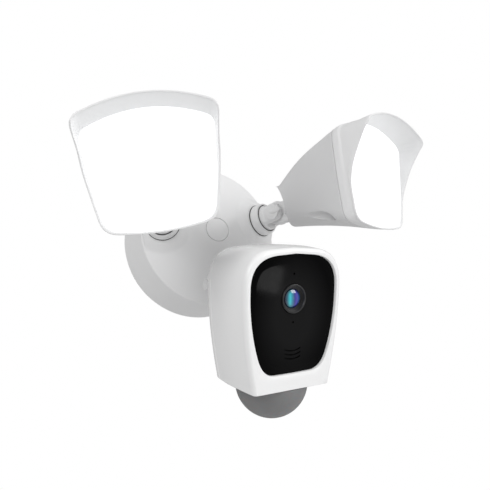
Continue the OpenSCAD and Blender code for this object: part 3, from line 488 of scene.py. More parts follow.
# %% Screws on points
def screw_tree():
    g, ids, gi, go = tree("screws_on_points", [
        ("Head Radius", "Float", 3.0), ("Head Height", "Float", 2.0), ("Shaft Radius", "Float", 1.2),
        ("Shaft Length", "Float", 6.0), ("Recess Width", "Float", 0.8), ("Recess Length", "Float", 3.6), ("Finish", "Material", None)])
    head = add(g, "GeometryNodeMeshCylinder", [(gi.outputs["Head Radius"], "Radius"), (gi.outputs["Head Height"], "Depth")], fill_type="TRIANGLE_FAN")
    head.inputs["Vertices"].default_value = 40
    head.inputs["Side Segments"].default_value = 2
    head.inputs["Fill Segments"].default_value = 6
    pos = add(g, "GeometryNodeInputPosition")
    xyz = add(g, "ShaderNodeSeparateXYZ", [(pos.outputs[0], 0)])
    flat = add(g, "ShaderNodeCombineXYZ", [(xyz.outputs[0], 0), (xyz.outputs[1], 1)])
    dist = add(g, "ShaderNodeVectorMath", [(flat.outputs[0], 0)], operation="LENGTH")
    ratio = add(g, "ShaderNodeMath", [(dist.outputs["Value"], 0), (gi.outputs["Head Radius"], 1)], operation="DIVIDE")
    square = add(g, "ShaderNodeMath", [(ratio.outputs[0], 0)], operation="POWER")
    square.inputs[1].default_value = 3.0
    drop = add(g, "ShaderNodeMath", [(square.outputs[0], 0), (gi.outputs["Head Height"], 1)], operation="MULTIPLY")
    part = add(g, "ShaderNodeMath", [(drop.outputs[0], 0)], operation="MULTIPLY")
    part.inputs[1].default_value = 0.45
    under = add(g, "FunctionNodeCompare", [(xyz.outputs[2], "A")], data_type="FLOAT", operation="LESS_THAN")
    under.inputs["B"].default_value = -0.01
    shift = add(g, "ShaderNodeCombineXYZ", [(part.outputs[0], 2)])
    domed = add(g, "GeometryNodeSetPosition", [(head.outputs["Mesh"], "Geometry"), (under.outputs[0], "Selection"), (shift.outputs[0], "Offset")])
    size = add(g, "ShaderNodeCombineXYZ", [(gi.outputs["Recess Length"], 0), (gi.outputs["Recess Width"], 1), (gi.outputs["Head Height"], 2)])
    bar = add(g, "GeometryNodeMeshCube", [(size.outputs[0], "Size")])
    half = add(g, "ShaderNodeMath", [(gi.outputs["Head Height"], 0)], operation="MULTIPLY")
    half.inputs[1].default_value = -0.5
    low = add(g, "ShaderNodeCombineXYZ", [(half.outputs[0], 2)])
    bar_a = add(g, "GeometryNodeTransform", [(bar.outputs["Mesh"], "Geometry"), (low.outputs[0], "Translation")])
    bar_b = add(g, "GeometryNodeTransform", [(bar_a.outputs[0], "Geometry")])
    bar_b.inputs["Rotation"].default_value = (0, 0, math.pi / 2)
    recess = add(g, "GeometryNodeMeshBoolean", operation="DIFFERENCE", solver="EXACT")
    g.links.new(domed.outputs[0], recess.inputs["Mesh 1"])
    g.links.new(bar_a.outputs[0], recess.inputs["Mesh 2"])
    g.links.new(bar_b.outputs[0], recess.inputs["Mesh 2"])
    lift_head = add(g, "GeometryNodeTransform", [(recess.outputs["Mesh"], "Geometry"), (low.outputs[0], "Translation")])
    shaft = add(g, "GeometryNodeMeshCylinder", [(gi.outputs["Shaft Radius"], "Radius"), (gi.outputs["Shaft Length"], "Depth")], fill_type="NGON")
    shaft.inputs["Vertices"].default_value = 24
    up = add(g, "ShaderNodeMath", [(gi.outputs["Shaft Length"], 0)], operation="MULTIPLY")
    up.inputs[1].default_value = 0.5
    raise_ = add(g, "ShaderNodeCombineXYZ", [(up.outputs[0], 2)])
    lift_shaft = add(g, "GeometryNodeTransform", [(shaft.outputs["Mesh"], "Geometry"), (raise_.outputs[0], "Translation")])
    both = add(g, "GeometryNodeJoinGeometry")
    g.links.new(lift_head.outputs[0], both.inputs[0])
    g.links.new(lift_shaft.outputs[0], both.inputs[0])
    pts = add(g, "GeometryNodeMeshToPoints", [(gi.outputs["Geometry"], "Mesh")])
    inst = add(g, "GeometryNodeInstanceOnPoints", [(pts.outputs[0], "Points"), (both.outputs[0], "Instance")])
    real = add(g, "GeometryNodeRealizeInstances", [(inst.outputs[0], 0)])
    mat = add(g, "GeometryNodeSetMaterial", [(real.outputs[0], "Geometry"), (gi.outputs["Finish"], "Material")])
    g.links.new(mat.outputs[0], go.inputs[0])
    return g, ids

SCREWS = screw_tree()

def screws(name, groups, space, body, node):
    made = [run_tree(*SCREWS, {"Head Radius": hr, "Head Height": hh, "Shaft Radius": sr, "Shaft Length": sl,
                               "Recess Width": 0.8, "Recess Length": 3.6, "Finish": screw_steel}, pts)
            for pts, hr, hh, sr, sl in groups]
    return piece(name, joined(made, name), space, body, screw_steel, (node,))

# %% Chips, fins and slits
def chip_tree():
    g, ids, gi, go = tree("light_chip_field", [
        ("Columns", "Int", 6), ("Rows", "Int", 4), ("Width", "Float", 42.0), ("Height", "Float", 25.2),
        ("Chip Size", "Float", 3.6), ("Chip Height", "Float", 0.9), ("Finish", "Material", None)])
    grid = add(g, "GeometryNodeMeshGrid", [(gi.outputs["Width"], "Size X"), (gi.outputs["Height"], "Size Y"),
                                           (gi.outputs["Columns"], "Vertices X"), (gi.outputs["Rows"], "Vertices Y")])
    pts = add(g, "GeometryNodeMeshToPoints", [(grid.outputs["Mesh"], "Mesh")])
    size = add(g, "ShaderNodeCombineXYZ", [(gi.outputs["Chip Size"], 0), (gi.outputs["Chip Size"], 1), (gi.outputs["Chip Height"], 2)])
    body = add(g, "GeometryNodeMeshCube", [(size.outputs[0], "Size")])
    inst = add(g, "GeometryNodeInstanceOnPoints", [(pts.outputs[0], "Points"), (body.outputs["Mesh"], "Instance")])
    real = add(g, "GeometryNodeRealizeInstances", [(inst.outputs[0], 0)])
    mat = add(g, "GeometryNodeSetMaterial", [(real.outputs[0], "Geometry"), (gi.outputs["Finish"], "Material")])
    g.links.new(mat.outputs[0], go.inputs[0])
    return g, ids

def fin_tree():
    g, ids, gi, go = tree("cooling_fins", [
        ("Fins", "Int", 9), ("Pitch", "Float", 6.3), ("Fin Thickness", "Float", 1.8), ("Fin Length", "Float", 30.0),
        ("Fin Height", "Float", 12.0), ("Finish", "Material", None)])
    gap_v = add(g, "ShaderNodeCombineXYZ", [(gi.outputs["Pitch"], 0)])
    line = add(g, "GeometryNodeMeshLine", [(gi.outputs["Fins"], "Count"), (gap_v.outputs[0], "Offset")])
    size = add(g, "ShaderNodeCombineXYZ", [(gi.outputs["Fin Thickness"], 0), (gi.outputs["Fin Length"], 1), (gi.outputs["Fin Height"], 2)])
    fin = add(g, "GeometryNodeMeshCube", [(size.outputs[0], "Size")])
    inst = add(g, "GeometryNodeInstanceOnPoints", [(line.outputs["Mesh"], "Points"), (fin.outputs["Mesh"], "Instance")])
    real = add(g, "GeometryNodeRealizeInstances", [(inst.outputs[0], 0)])
    mat = add(g, "GeometryNodeSetMaterial", [(real.outputs[0], "Geometry"), (gi.outputs["Finish"], "Material")])
    g.links.new(mat.outputs[0], go.inputs[0])
    return g, ids

def slit_tree():
    g, ids, gi, go = tree("arched_slits", [
        ("Slits", "Int", 3), ("Pitch", "Float", 2.8), ("Bend Radius", "Float", 16.0), ("Half Angle", "Float", 0.44),
        ("Slit Width", "Float", 0.9), ("Depth", "Float", 8.0), ("Finish", "Material", None)])
    double = add(g, "ShaderNodeMath", [(gi.outputs["Half Angle"], 0)], operation="MULTIPLY")
    double.inputs[1].default_value = 2.0
    start = add(g, "ShaderNodeMath", [(gi.outputs["Half Angle"], 1)], operation="SUBTRACT")
    start.inputs[0].default_value = -math.pi / 2
    arc = add(g, "GeometryNodeCurveArc", [(gi.outputs["Bend Radius"], "Radius"), (start.outputs[0], "Start Angle"), (double.outputs[0], "Sweep Angle")])
    arc.inputs["Resolution"].default_value = 20
    tall = add(g, "GeometryNodeCurvePrimitiveQuadrilateral", [(gi.outputs["Slit Width"], "Width"), (gi.outputs["Depth"], "Height")])
    tube = add(g, "GeometryNodeCurveToMesh", [(arc.outputs["Curve"], "Curve"), (tall.outputs[0], "Profile Curve")])
    tube.inputs["Fill Caps"].default_value = True
    down = add(g, "ShaderNodeMath", [(gi.outputs["Pitch"], 0)], operation="MULTIPLY")
    down.inputs[1].default_value = -1.0
    step = add(g, "ShaderNodeCombineXYZ", [(down.outputs[0], 1)])
    line = add(g, "GeometryNodeMeshLine", [(gi.outputs["Slits"], "Count"), (step.outputs[0], "Offset")])
    inst = add(g, "GeometryNodeInstanceOnPoints", [(line.outputs["Mesh"], "Points"), (tube.outputs["Mesh"], "Instance")])
    real = add(g, "GeometryNodeRealizeInstances", [(inst.outputs[0], 0)])
    mat = add(g, "GeometryNodeSetMaterial", [(real.outputs[0], "Geometry"), (gi.outputs["Finish"], "Material")])
    g.links.new(mat.outputs[0], go.inputs[0])
    return g, ids

CHIPS, FINS, SLITS = chip_tree(), fin_tree(), slit_tree()
print("node trees:", [g.name for g in bpy.data.node_groups])

# %% [markdown]
# The base. One ring of points is swept from the hole for the middle cap, over the
# dome, over the crisp rim, down the tapered side and round to the inside. Around
# each arm socket the dome swells into a soft boss: points near the arm's axis are
# lifted along it to a flat seat, and the lift fades out smoothly with distance.

# %% Base housing
RIM_R, BACK_R, RIM_DEPTH, DOME_H, WALL, PAD = 60.0, 63.5, 38.6, 17.0, 2.6, 2.0
DOME_R = (RIM_R ** 2 + DOME_H ** 2) / (2 * DOME_H)
DOME_C = RIM_DEPTH + DOME_H - DOME_R
SEAT_R, FADE_R, SEAT_H, FOOT_SEAT_R = 14.9, 24.0, 3.6, 15.0
IN_ROOT = ROOT.inverted()

def smooth(t):
    t = min(1.0, max(0.0, t))
    return t * t * (3 - 2 * t)

def dome_z(r, inset=0.0):
    return DOME_C + math.sqrt((DOME_R - inset) ** 2 - r * r)

sockets = []
for side in SIDES:
    s = IN_ROOT @ arm_space(side + "_swivel")
    sockets.append((s.to_translation(), (s.to_3x3() @ Vector((0, 0, 1))).normalized()))

def swell(p):
    p = Vector(p)
    for centre, axis in sockets:
        rel = p - centre
        along = rel.dot(axis)
        off = (rel - axis * along).length
        w = 1 - smooth((off - SEAT_R) / (FADE_R - SEAT_R))
        p = p + axis * (SEAT_H - along) * w
    return p

def base_mesh():
    n, rings = 300, []
    circle = lambda r, z: [(r * math.cos(2 * math.pi * k / n), r * math.sin(2 * math.pi * k / n), z) for k in range(n)]
    rings += [circle(10.15, dome_z(10) - 3.2), circle(10.15, dome_z(10) - 0.35), circle(10.5, dome_z(10.5))]
    radii = [11 + i * 0.85 for i in range(57)]
    rings += [[swell(p) for p in circle(r, dome_z(r))] for r in radii if r < RIM_R - 0.8]
    rings += [circle(r, z) for r, z in corner(RIM_R - 0.7, dome_z(RIM_R - 0.7), RIM_R + 0.06, RIM_DEPTH - 0.7, 5, RIM_R, RIM_DEPTH)]
    slope = (BACK_R - RIM_R) / (RIM_DEPTH - PAD)
    rings += [circle(RIM_R + slope * (RIM_DEPTH - z), z) for z in (36, 31, 24, 17, 10, 5)]
    rings += [circle(r, z) for r, z in corner(BACK_R - 0.05, PAD + 1.0, BACK_R - 1.0, PAD, 5, BACK_R, PAD)]
    rings += [circle(BACK_R - WALL, PAD)]
    rings += [circle(BACK_R - WALL - slope * z, z) for z in (8, 20, 34)]
    rings += [circle(r, dome_z(r, WALL)) for r in (56, 50, 42, 34, 26, 18, 12, 8.0)]
    rings += [circle(8.0, dome_z(8.0) - 3.2)]
    return skin("base", rings, wrap=True)

piece("base_canopy", base_mesh(), ROOT, "base", white, ("base_housing",), sharp=28)

# %% [markdown]
# The middle cap hides the screw that pulls the base against its strap. It is a
# shallow disc with a rounded edge that leaves a fine seam.

# %% Middle cap and lock collars
cap = [(0.01, dome_z(0)), (4, dome_z(4)), (8, dome_z(8))] + corner(9.3, dome_z(9.3), 9.92, dome_z(10) - 0.7, 5, 9.92, dome_z(9.9)) \
    + [(9.92, dome_z(10) - 3.1), (0.01, dome_z(10) - 3.1)]
piece("middle_cap", skin("cap", turned_rings(cap)), ROOT, "base", white, ("center_cap",))

COLLAR_R, COLLAR_BORE, COLLAR_LOW, COLLAR_TOP = 13.7, 11.35, 3.95, 11.5
collar_profile = corner(COLLAR_BORE, COLLAR_LOW + 0.4, COLLAR_BORE + 0.5, COLLAR_LOW, 3, COLLAR_BORE, COLLAR_LOW) \
    + corner(COLLAR_R - 0.7, COLLAR_LOW, COLLAR_R, COLLAR_LOW + 0.8, 4, COLLAR_R, COLLAR_LOW) \
    + [(COLLAR_R - 0.15, COLLAR_LOW + 3.5)] \
    + corner(COLLAR_R - 0.45, COLLAR_TOP - 1.3, COLLAR_R - 1.7, COLLAR_TOP, 5, COLLAR_R - 0.5, COLLAR_TOP) \
    + corner(COLLAR_BORE + 0.5, COLLAR_TOP, COLLAR_BORE, COLLAR_TOP - 0.5, 3, COLLAR_BORE, COLLAR_TOP)
for side in SIDES:
    piece(side + "_collar_ring", skin("collar", turned_rings(collar_profile), wrap=True), arm_space(side + "_swivel"),
          side + "_collar", white, (side + "_collar",))

seal_a = [(11.4, 3.2), (11.4, 4.3), (13.55, 4.3)] + corner(13.55, 4.3, 14.0, 3.85, 3, 14.0, 4.3) + [(14.0, 3.2)]
seal_b = [(11.05, 11.1), (11.05, 11.85), (11.75, 11.85), (11.75, 11.1)]
rings = []
for side in SIDES:
    for profile in (seal_a, seal_b):
        me = skin("seal", turned_rings(profile), wrap=True)
        me.transform(IN_ROOT @ arm_space(side + "_swivel"))
        rings.append(me)
piece("socket_seal_rings", joined(rings, "seals"), ROOT, "base", rubber, ("arm_seals",))

# %% Arms, brackets and the camera's joint
for side in SIDES:
    softened(side + "_arm_casting", side + "_arm", side + "_arm", white)
    softened(side + "_bracket_casting", side + "_bracket", side + "_head", white)
softened("camera_arm_casting", "camera_arm", "base", white)
softened("pan_block_casting", "pan_block", "camera_pan_block", white)
softened("camera_bracket_casting", "camera_bracket", "camera", white)
softened("tilt_bolt_knob", "tilt_bolt", "camera", white, 0.0004)
softened("tilt_nut_knob", "tilt_nut", "camera", white, 0.0004)
print("castings made")

# %% Knuckle bolts under a cap with a thumb rib
ACROSS = Matrix.Rotation(math.radians(-90), 4, "Y")
cap_bolt = [(0.01, -8.8), (2.45, -8.8), (2.45, 8.1), (4.85, 8.1), (4.85, 9.5)] \
    + corner(6.6, 9.5, 6.9, 9.8, 2, 6.9, 9.5) + corner(6.9, 10.2, 6.1, 10.9, 4, 6.9, 10.9) + [(3.5, 11.1), (0.01, 11.15)]
rib = []
for i in range(13):
    t = i / 12
    r = 2.7 * math.sin(math.pi * min(1, 0.5 + abs(t - 0.5))) ** 0.5 if 0 < t < 1 else 0.05
    rib.append([(-3.0 + 12.4 * t, r * math.cos(a), 10.4 + 0.65 * r * math.sin(a)) for a in (2 * math.pi * k / 24 for k in range(24))])
for side in SIDES:
    knob = joined([skin("cap", turned_rings(cap_bolt)), skin("rib", rib)], "knob")
    piece(side + "_cap_bolt", knob, knuckle_space(side + "_tilt") @ MM @ ACROSS, side + "_arm", white, (side + "_knuckle_bolt",))

# %% [markdown]
# The light head. Its outline is a shield: straight leaning sides, an arched top and
# a shallow arched foot, with rounded corners. Every ring of the bezel and of the
# rear shell is this outline, inset or blended towards the round neck.

# %% Head outline
TOP_HALF, LOW_HALF, UP, DOWN, ARCH, LOW_ARCH = 45.5, 34.8, 40.5, 27.8, 10.5, 3.7
CORNER_TOP, CORNER_LOW, BULGE = 7.0, 8.0, 1.2

def bezier(a, b, c, n):
    return [tuple((1 - i / n) ** 2 * a[q] + 2 * (i / n) * (1 - i / n) * b[q] + (i / n) ** 2 * c[q] for q in (0, 1)) for i in range(n + 1)]

def head_outline(inset=0.0, fine=3):
    wt, wb, up, down = TOP_HALF - inset, LOW_HALF - inset, UP - inset, DOWN - inset
    ct, cb = CORNER_TOP - inset / 2, CORNER_LOW - inset / 2
    side = lambda t: (wb + (wt - wb) * t + BULGE * 4 * t * (1 - t), -down + (up + down) * t)
    top = lambda x: (x, up + ARCH * (1 - x * x / (wt * wt)))
    low = lambda x: (x, -down - LOW_ARCH * (1 - x * x / (wb * wb)))
    s0, s1 = cb / (up + down), 1 - ct / (up + down)
    k = 6 * fine
    half = [low((wb - cb) * i / k) for i in range(k)] + bezier(low(wb - cb), (wb, -down), side(s0), k)
    half += [side(s0 + (s1 - s0) * i / k) for i in range(1, k)] + bezier(side(s1), (wt, up), top(wt - ct), k)
    half += [top((wt - ct) * i / k) for i in range(k - 1, -1, -1)]
    return half + [(-x, y) for x, y in half[-2:0:-1]]

OUTLINE = head_outline()
INSETS = [head_outline(k) for k in range(13)]

def inset_point(i, inset):
    k = min(11, int(inset))
    (x0, y0), (x1, y1), t = INSETS[k][i], INSETS[k + 1][i], inset - k
    return x0 + (x1 - x0) * t, y0 + (y1 - y0) * t

print("outline points:", len(OUTLINE))

# %% [markdown]
# The bezel carries the visor. Its front edge is far forward along the top, sweeps
# back down each cheek and ends almost level with the panel. Behind it are a soft
# rolled crease and the seam to the rear shell, which leans back towards the top.

# %% Bezel with visor
HEAD_WALL, VISOR = 2.4, 21.0

def visor_edge(y):
    t = min(1.0, max(0.0, (y + 6) / (UP + 4)))
    return 1.6 + (VISOR - 1.6) * t ** 1.6

def taper(z, edge):
    """How far the outer wall has come in at depth z, with the soft step behind the panel."""
    tall = smooth((edge - 1.6) / 8)
    step = (0.6 + 0.7 * tall) * smooth((z + 4.6) / 2.8)
    fade = 1 - smooth((z + 0.6) / max(1.5, edge - 1.0))
    return 0.05 * (edge - max(z, 0)) + 0.2 * max(0, -z) + step * fade + 1.2 * tall * smooth((z - 2) / 10)

SEAM_Z = -9.6

def bezel_rings():
    edge = [visor_edge(y) for x, y in OUTLINE]
    rows = [(1.5, lambda e: SEAM_Z), (0.7, lambda e: SEAM_Z), (0.3, lambda e: SEAM_Z + 0.2), (0.1, lambda e: SEAM_Z + 0.6)]
    rows += [(0, lambda e, z=z: z) for z in (-8.0, -6.6, -5.4, -4.6, -3.9, -3.2, -2.5, -1.8, -1.2, -0.6)]
    rows += [(0, lambda e, t=t: -0.5 + (e - 0.2) * t) for t in (0.2, 0.45, 0.7, 0.9)]
    rows += [(0.05, lambda e: e - 0.3), (0.2, lambda e: e - 0.07), (0.45, lambda e: e), (0.75, lambda e: e), (1.0, lambda e: e - 0.07),
             (1.1, lambda e: e - 0.3), (1.12, lambda e: max(0.9, e - 2.5)), (1.14, lambda e: min(1.2, e - 0.5)),
             (1.15, lambda e: min(0.9, e - 0.6)), (1.15, lambda e: 0.02), (1.15, lambda e: -3.0), (1.15, lambda e: SEAM_Z)]
    rings = []
    for inset, z in rows:
        ring = []
        for i, (x, y) in enumerate(OUTLINE):
            zi = z(edge[i])
            total = inset + taper(zi, edge[i])
            ring.append((i, total, zi))
        pts = []
        for i, total, zi in ring:
            pts.append((*inset_point(i, total), zi))
        rings.append(pts)
    return rings

BEZEL = skin("bezel", bezel_rings(), wrap=True)

# %% [markdown]
# The rear shell blends that outline into a round neck, the top late and the
# underside early. It is cut by a notch around the knuckle and by four long wells
# that the screws sit in. The cavity is cut first, less a sleeve around each well,
# so that no well breaks into it.

# %% Rear shell
SHELL, NECK_R, PARTITION = 88.0, 18.0, -66.0
STATIONS = [(0, 0, 0), (0.18, 0.15, 0.3), (0.33, 0.27, 0.5), (0.46, 0.39, 0.65), (0.57, 0.51, 0.75), (0.7, 0.67, 0.86), (0.9, 0.94, 0.98), (0.94, 1, 1), (1, 1, 1)]
WELLS = [(22, 37.5), (-22, 37.5), (22.5, -18.5), (-22.5, -18.5)]
WELL_R, WELL_FLOOR = 4.6, -16.4
SHELL_FRONT = SEAM_Z - 0.15

def blend_at(u, which):
    for (u0, *a), (u1, *b) in zip(STATIONS, STATIONS[1:]):
        if u <= u1:
            t = (u - u0) / (u1 - u0)
            return a[which] + (b[which] - a[which]) * t
    return 1.0

def eased(u, which):
    w = 0.07
    picks = [(-w, 1), (-w / 2, 2), (0, 2), (w / 2, 2), (w, 1)]
    return sum(blend_at(min(1, max(0, u + d)), which) * k for d, k in picks) / 8 if 0.02 < u < 1 else blend_at(u, which)

def shell_ring(u, inset):
    ring = []
    for i, (x, y) in enumerate(OUTLINE):
        px, py = inset_point(i, inset + taper(SHELL_FRONT, visor_edge(y)))
        rise = min(1, max(0, (y + DOWN) / (UP + DOWN)))
        top, low = eased(u, 0), eased(u, 1)
        m = low + (top - low) * (0.5 - 0.5 * math.cos(math.pi * rise))
        a, r = math.atan2(y, x), NECK_R - inset
        ring.append(((1 - m) * px + m * r * math.cos(a), (1 - m) * py + m * r * math.sin(a), SHELL_FRONT + (-SHELL - SHELL_FRONT) * u))
    return ring

def rod(r, z0, z1, x=0, y=0, n=48):
    return skin("rod", turned_rings([(r, z0), (r, z1)], n, (x, y)))

def bar(r, x0, x1, y, z, n=96):
    rings = [[(x, y + r * math.cos(2 * math.pi * k / n), z + r * math.sin(2 * math.pi * k / n)) for k in range(n)] for x in (x0, x1)]
    return skin("bar", rings)

def shell_mesh():
    steps = [(0.0, 1.0), (0.0015, 0.55), (0.004, 0.25), (0.008, 0.08)] + [(0.013 + 0.987 * (i / 44), 0) for i in range(45)]
    outer = skin("outer", [shell_ring(u, inset) for u, inset in steps])
    inner_steps = [i / 30 for i in range(31)]
    rings = [shell_ring(u, HEAD_WALL) for u in inner_steps]
    front = [[(x, y, z + 2) for x, y, z in rings[0]]]
    cavity = skin("cavity", front + [r for r in rings if max(p[2] for p in r) > PARTITION])
    neck = [[(x, y, min(z, PARTITION - 2)) for x, y, z in r] for r in rings if min(p[2] for p in r) < PARTITION - 3]
    neck_cavity = skin("neck", neck + [[(x, y, z - 3) for x, y, z in rings[-1]]])
    for x, y in WELLS:
        cavity = cut(cavity, rod(WELL_R + 1.6, -SHELL, WELL_FLOOR + 2.2, x, y))
    me = cut(outer, cavity)
    me = cut(me, neck_cavity)
    for x, y in WELLS:
        well = skin("well", turned_rings([(WELL_R, -SHELL - 4), (WELL_R, WELL_FLOOR - 0.8), (WELL_R - 0.3, WELL_FLOOR - 0.25), (WELL_R - 0.9, WELL_FLOOR)], 48, (x, y)))
        me = cut(me, well)
    return cut(me, bar(21.0, -40, 40, -HEAD_LIFT, -HEAD_REACH))

REAR = shell_mesh()
print("rear shell faces:", len(REAR.polygons))

# %% [markdown]
# The panel that glows: a frosted sheet, a little crowned so that it meets the
# bezel's lip and stands proudest in the middle.

# %% Panel, and both heads put together
def panel_rings():
    def ring(inset, z, s=1.0):
        pts = [inset_point(i, inset + taper(0, visor_edge(y))) for i, (x, y) in enumerate(OUTLINE)]
        return [(x * s, (y - 8) * s + 8, z) for x, y in pts]
    rings = [ring(1.25, -2.9), ring(1.25, -0.1), ring(1.35, 0.2)]
    return rings + [ring(1.35, 0.2 + z, s) for s, z in ((0.985, 0.12), (0.92, 0.3), (0.8, 0.48), (0.6, 0.6), (0.35, 0.66), (0.1, 0.68))]

PANEL = skin("panel", panel_rings())
LED_UP, CHIP_Z = 9.0, -17.55
for side in SIDES:
    head, space = side + "_head", HEAD[side]
    piece(side + "_visor_bezel", BEZEL.copy(), space, head, white, (side + "_bezel",), sharp=40)
    piece(side + "_hood_shell", REAR.copy(), space, head, white_painted_shade, (side + "_rear_shell",))
    piece(side + "_light_panel", PANEL.copy(), space, head, panel_glow, (side + "_diffuser",), sharp=60)
    chips = run_tree(*CHIPS, {"Columns": 6, "Rows": 4, "Width": 42.0, "Height": 25.2, "Chip Size": 3.6, "Chip Height": 0.9, "Finish": chip_glow})
    piece(side + "_light_chips", chips, space @ Matrix.Translation((0, LED_UP, CHIP_Z)), head, chip_glow, (side + "_leds",))
    fins = run_tree(*FINS, {"Fins": 9, "Pitch": 50.2 / 8, "Fin Thickness": 1.8, "Fin Length": 30.0, "Fin Height": 12.0, "Finish": sink_metal})
    fins.transform(Matrix.Translation((-25.1, 0, -29.0)))
    plate = skin("plate", [[(x, y, z) for x, y in ((-26, -19), (26, -19), (26, 19), (-26, 19))] for z in (-23.0, -19.6)])
    piece(side + "_fin_block", joined([fins, plate], "sink"), space @ Matrix.Translation((0, LED_UP, 0)), head, sink_metal, (side + "_heat_sink",))
    screws(side + "_well_screws", [([(x, y, WELL_FLOOR) for x, y in WELLS], 3.0, 2.0, 1.5, 7.4)], space, head, side + "_shell_screws")
print("heads done")

# %% [markdown]
# The camera housing. The front is a tall shield with big round shoulders, straight
# cheeks that lean in towards the chin, and a flat foot. The opening for the face
# plate has a softer outline with round lower corners, so the rings turn from the
# one outline into the other across the flat front band.

# %% Camera outlines
CAM_HALF, CAM_LOW, CAM_UP, CAM_DOWN, CHIN, BAND = 40.5, 31.8, 35.0, 62.6, 11.6, 4.2

def closed(half):
    return half + [(-x, y) for x, y in half[-2:0:-1]]

def line(a, b, n):
    return [tuple(a[q] + (b[q] - a[q]) * i / n for q in (0, 1)) for i in range(n)]

def body_outline(inset, lift=0.0):
    w, wb, up, down, waist = CAM_HALF - inset, CAM_LOW - inset, CAM_UP - inset, CAM_DOWN - inset - lift, 8
    half = line((0, -down), (wb - 1.5, -down), 20) + bezier((wb - 1.5, -down), (wb, -down), (wb + 0.2, -down + 1.5), 12)
    half += bezier((wb + 0.35, -down + 2.8), (w, -22), (w, waist), 30) + bezier((w, waist), (w, up - 2.5), (w - 22, up - 1), 34)[1:]
    half += line((w - 22, up - 1), (0, up), 20)[1:] + [(0, up)]
    return closed(half)

def face_outline(inset):
    w, up, wb, waist = CAM_HALF - inset, CAM_UP - inset, CAM_LOW + BAND - inset, 8
    down = CAM_DOWN - CHIN + BAND - inset
    half = line((0, -down), (w / 2 - 3, -down + 0.2), 20) + bezier((w / 2 - 3, -down + 0.2), (wb - 6.5, -down + 0.6), (wb - 2.4, -down + 13), 12)
    half += bezier((wb - 2.2, -down + 13.5), (w + 0.4, -16), (w, waist), 30) + bezier((w, waist), (w, up - 2.5), (w - 22, up - 1), 34)[1:]
    half += line((w - 22, up - 1), (0, up), 20)[1:] + [(0, up)]
    return closed(half)

print("camera outline points:", len(body_outline(0)), len(face_outline(0)))

# %% Front housing
SEAM, DEPTH, RECESS = -46.0, 55.0, -2.0

def front_housing_mesh():
    rows = [(body_outline(3.4, -0.8), SEAM), (body_outline(1.1, -0.8), SEAM), (body_outline(0.75, -0.8), SEAM + 0.4),
            (body_outline(0.35, -0.55), -41), (body_outline(-0.2, -0.1), -34), (body_outline(-0.65, 0.6), -26),
            (body_outline(-0.7, 0.7), -20), (body_outline(-0.55, 0.55), -14), (body_outline(-0.3, 0.3), -9), (body_outline(-0.05, 0.05), -5.5)]
    fillet = 4.0
    rows += [(body_outline(fillet * (1 - math.cos(a)) * 0.62, -fillet * (1 - math.cos(a)) * 0.45), -fillet * (1 - math.sin(a)))
             for a in (math.pi / 2 * i / 7 for i in range(8))]
    outer, inner = body_outline(2.3, -1.7), face_outline(BAND - 0.5)
    for t in (0.3, 0.65):
        rows.append(([(a[0] + (b[0] - a[0]) * t, a[1] + (b[1] - a[1]) * t) for a, b in zip(outer, inner)], 0.0))
    rows += [(face_outline(BAND - 0.45), 0.0), (face_outline(BAND - 0.15), -0.12), (face_outline(BAND), -0.5), (face_outline(BAND), -4.4),
             (face_outline(BAND + 3), -4.4), (face_outline(BAND + 3), -6.4), (body_outline(2.8), -7.0), (body_outline(1.9, 0.7), -24)]
    return skin("front_housing", [[(x, y, z) for x, y in ring] for ring, z in rows], wrap=True)

NECK_Z = -26.0
front = front_housing_mesh()
hole = rod(17.7, 0, 8)
hole.transform(Matrix.Translation((0, -CAM_DOWN + 4, NECK_Z)) @ Matrix.Rotation(math.radians(90), 4, "X"))
front = cut(front, hole)
piece("camera_shell", front, LENS, "camera", white_gloss, ("front_housing",), sharp=30)

# %% Rear cover
def rear_cover_mesh():
    rows = [(body_outline(3.4, -0.8), SEAM), (body_outline(1.1, -0.8), SEAM - 0.02), (body_outline(0.8, -0.8), SEAM - 0.4)]
    for i in range(1, 11):
        a = math.pi / 2 * i / 10
        rows.append((body_outline(0.8 + 5.7 * (1 - math.cos(a)), -0.8 - 4.2 * (1 - math.cos(a))), SEAM - 0.4 - (DEPTH + SEAM - 0.4) * math.sin(a)))
    rings = [[(x, y, z) for x, y in ring] for ring, z in rows]
    inside = [[(x, y, -DEPTH + 2.6) for x, y in body_outline(9.1, -5)], [(x, y, SEAM) for x, y in body_outline(3.4, -0.8)]]
    centre = (0, -13)
    for s in (0.9, 0.6, 0.3, 0.02):
        rings.append([((x - centre[0]) * s + centre[0], (y - centre[1]) * s + centre[1], -DEPTH) for x, y in body_outline(6.5, -5)])
    outer = skin("cover", rings)
    return cut(outer, skin("hollow", [[(x, y, z) for x, y, z in r] for r in (inside[0], [(x, y, z + 1) for x, y, z in inside[1]])]))

POSTS = [(29, 18), (-29, 18), (23, -49), (-23, -49)]
TABS = [(9, 12), (-9, 12), (9, -12), (-9, -12)]
BUTTON_DOWN = 46
cover = rear_cover_mesh()
for x, y in POSTS:
    cover = cut(cover, skin("sink", turned_rings([(3.3, -DEPTH - 4), (3.3, -DEPTH + 1.2)], 48, (x, y))))
cover = cut(cover, rod(3.08, -DEPTH - 4, SEAM, 0, -BUTTON_DOWN))
piece("camera_back_cover", cover, LENS, "camera", white_gloss, ("rear_cover",), sharp=30)
screws("camera_screws", [([(x, y, -DEPTH + 1.2) for x, y in POSTS], 3.0, 1.8, 1.2, 16.0),
                         ([(x, y, -DEPTH - 3) for x, y in TABS], 3.0, 2.0, 1.2, 6.0)], LENS, "camera", "cover_screws")

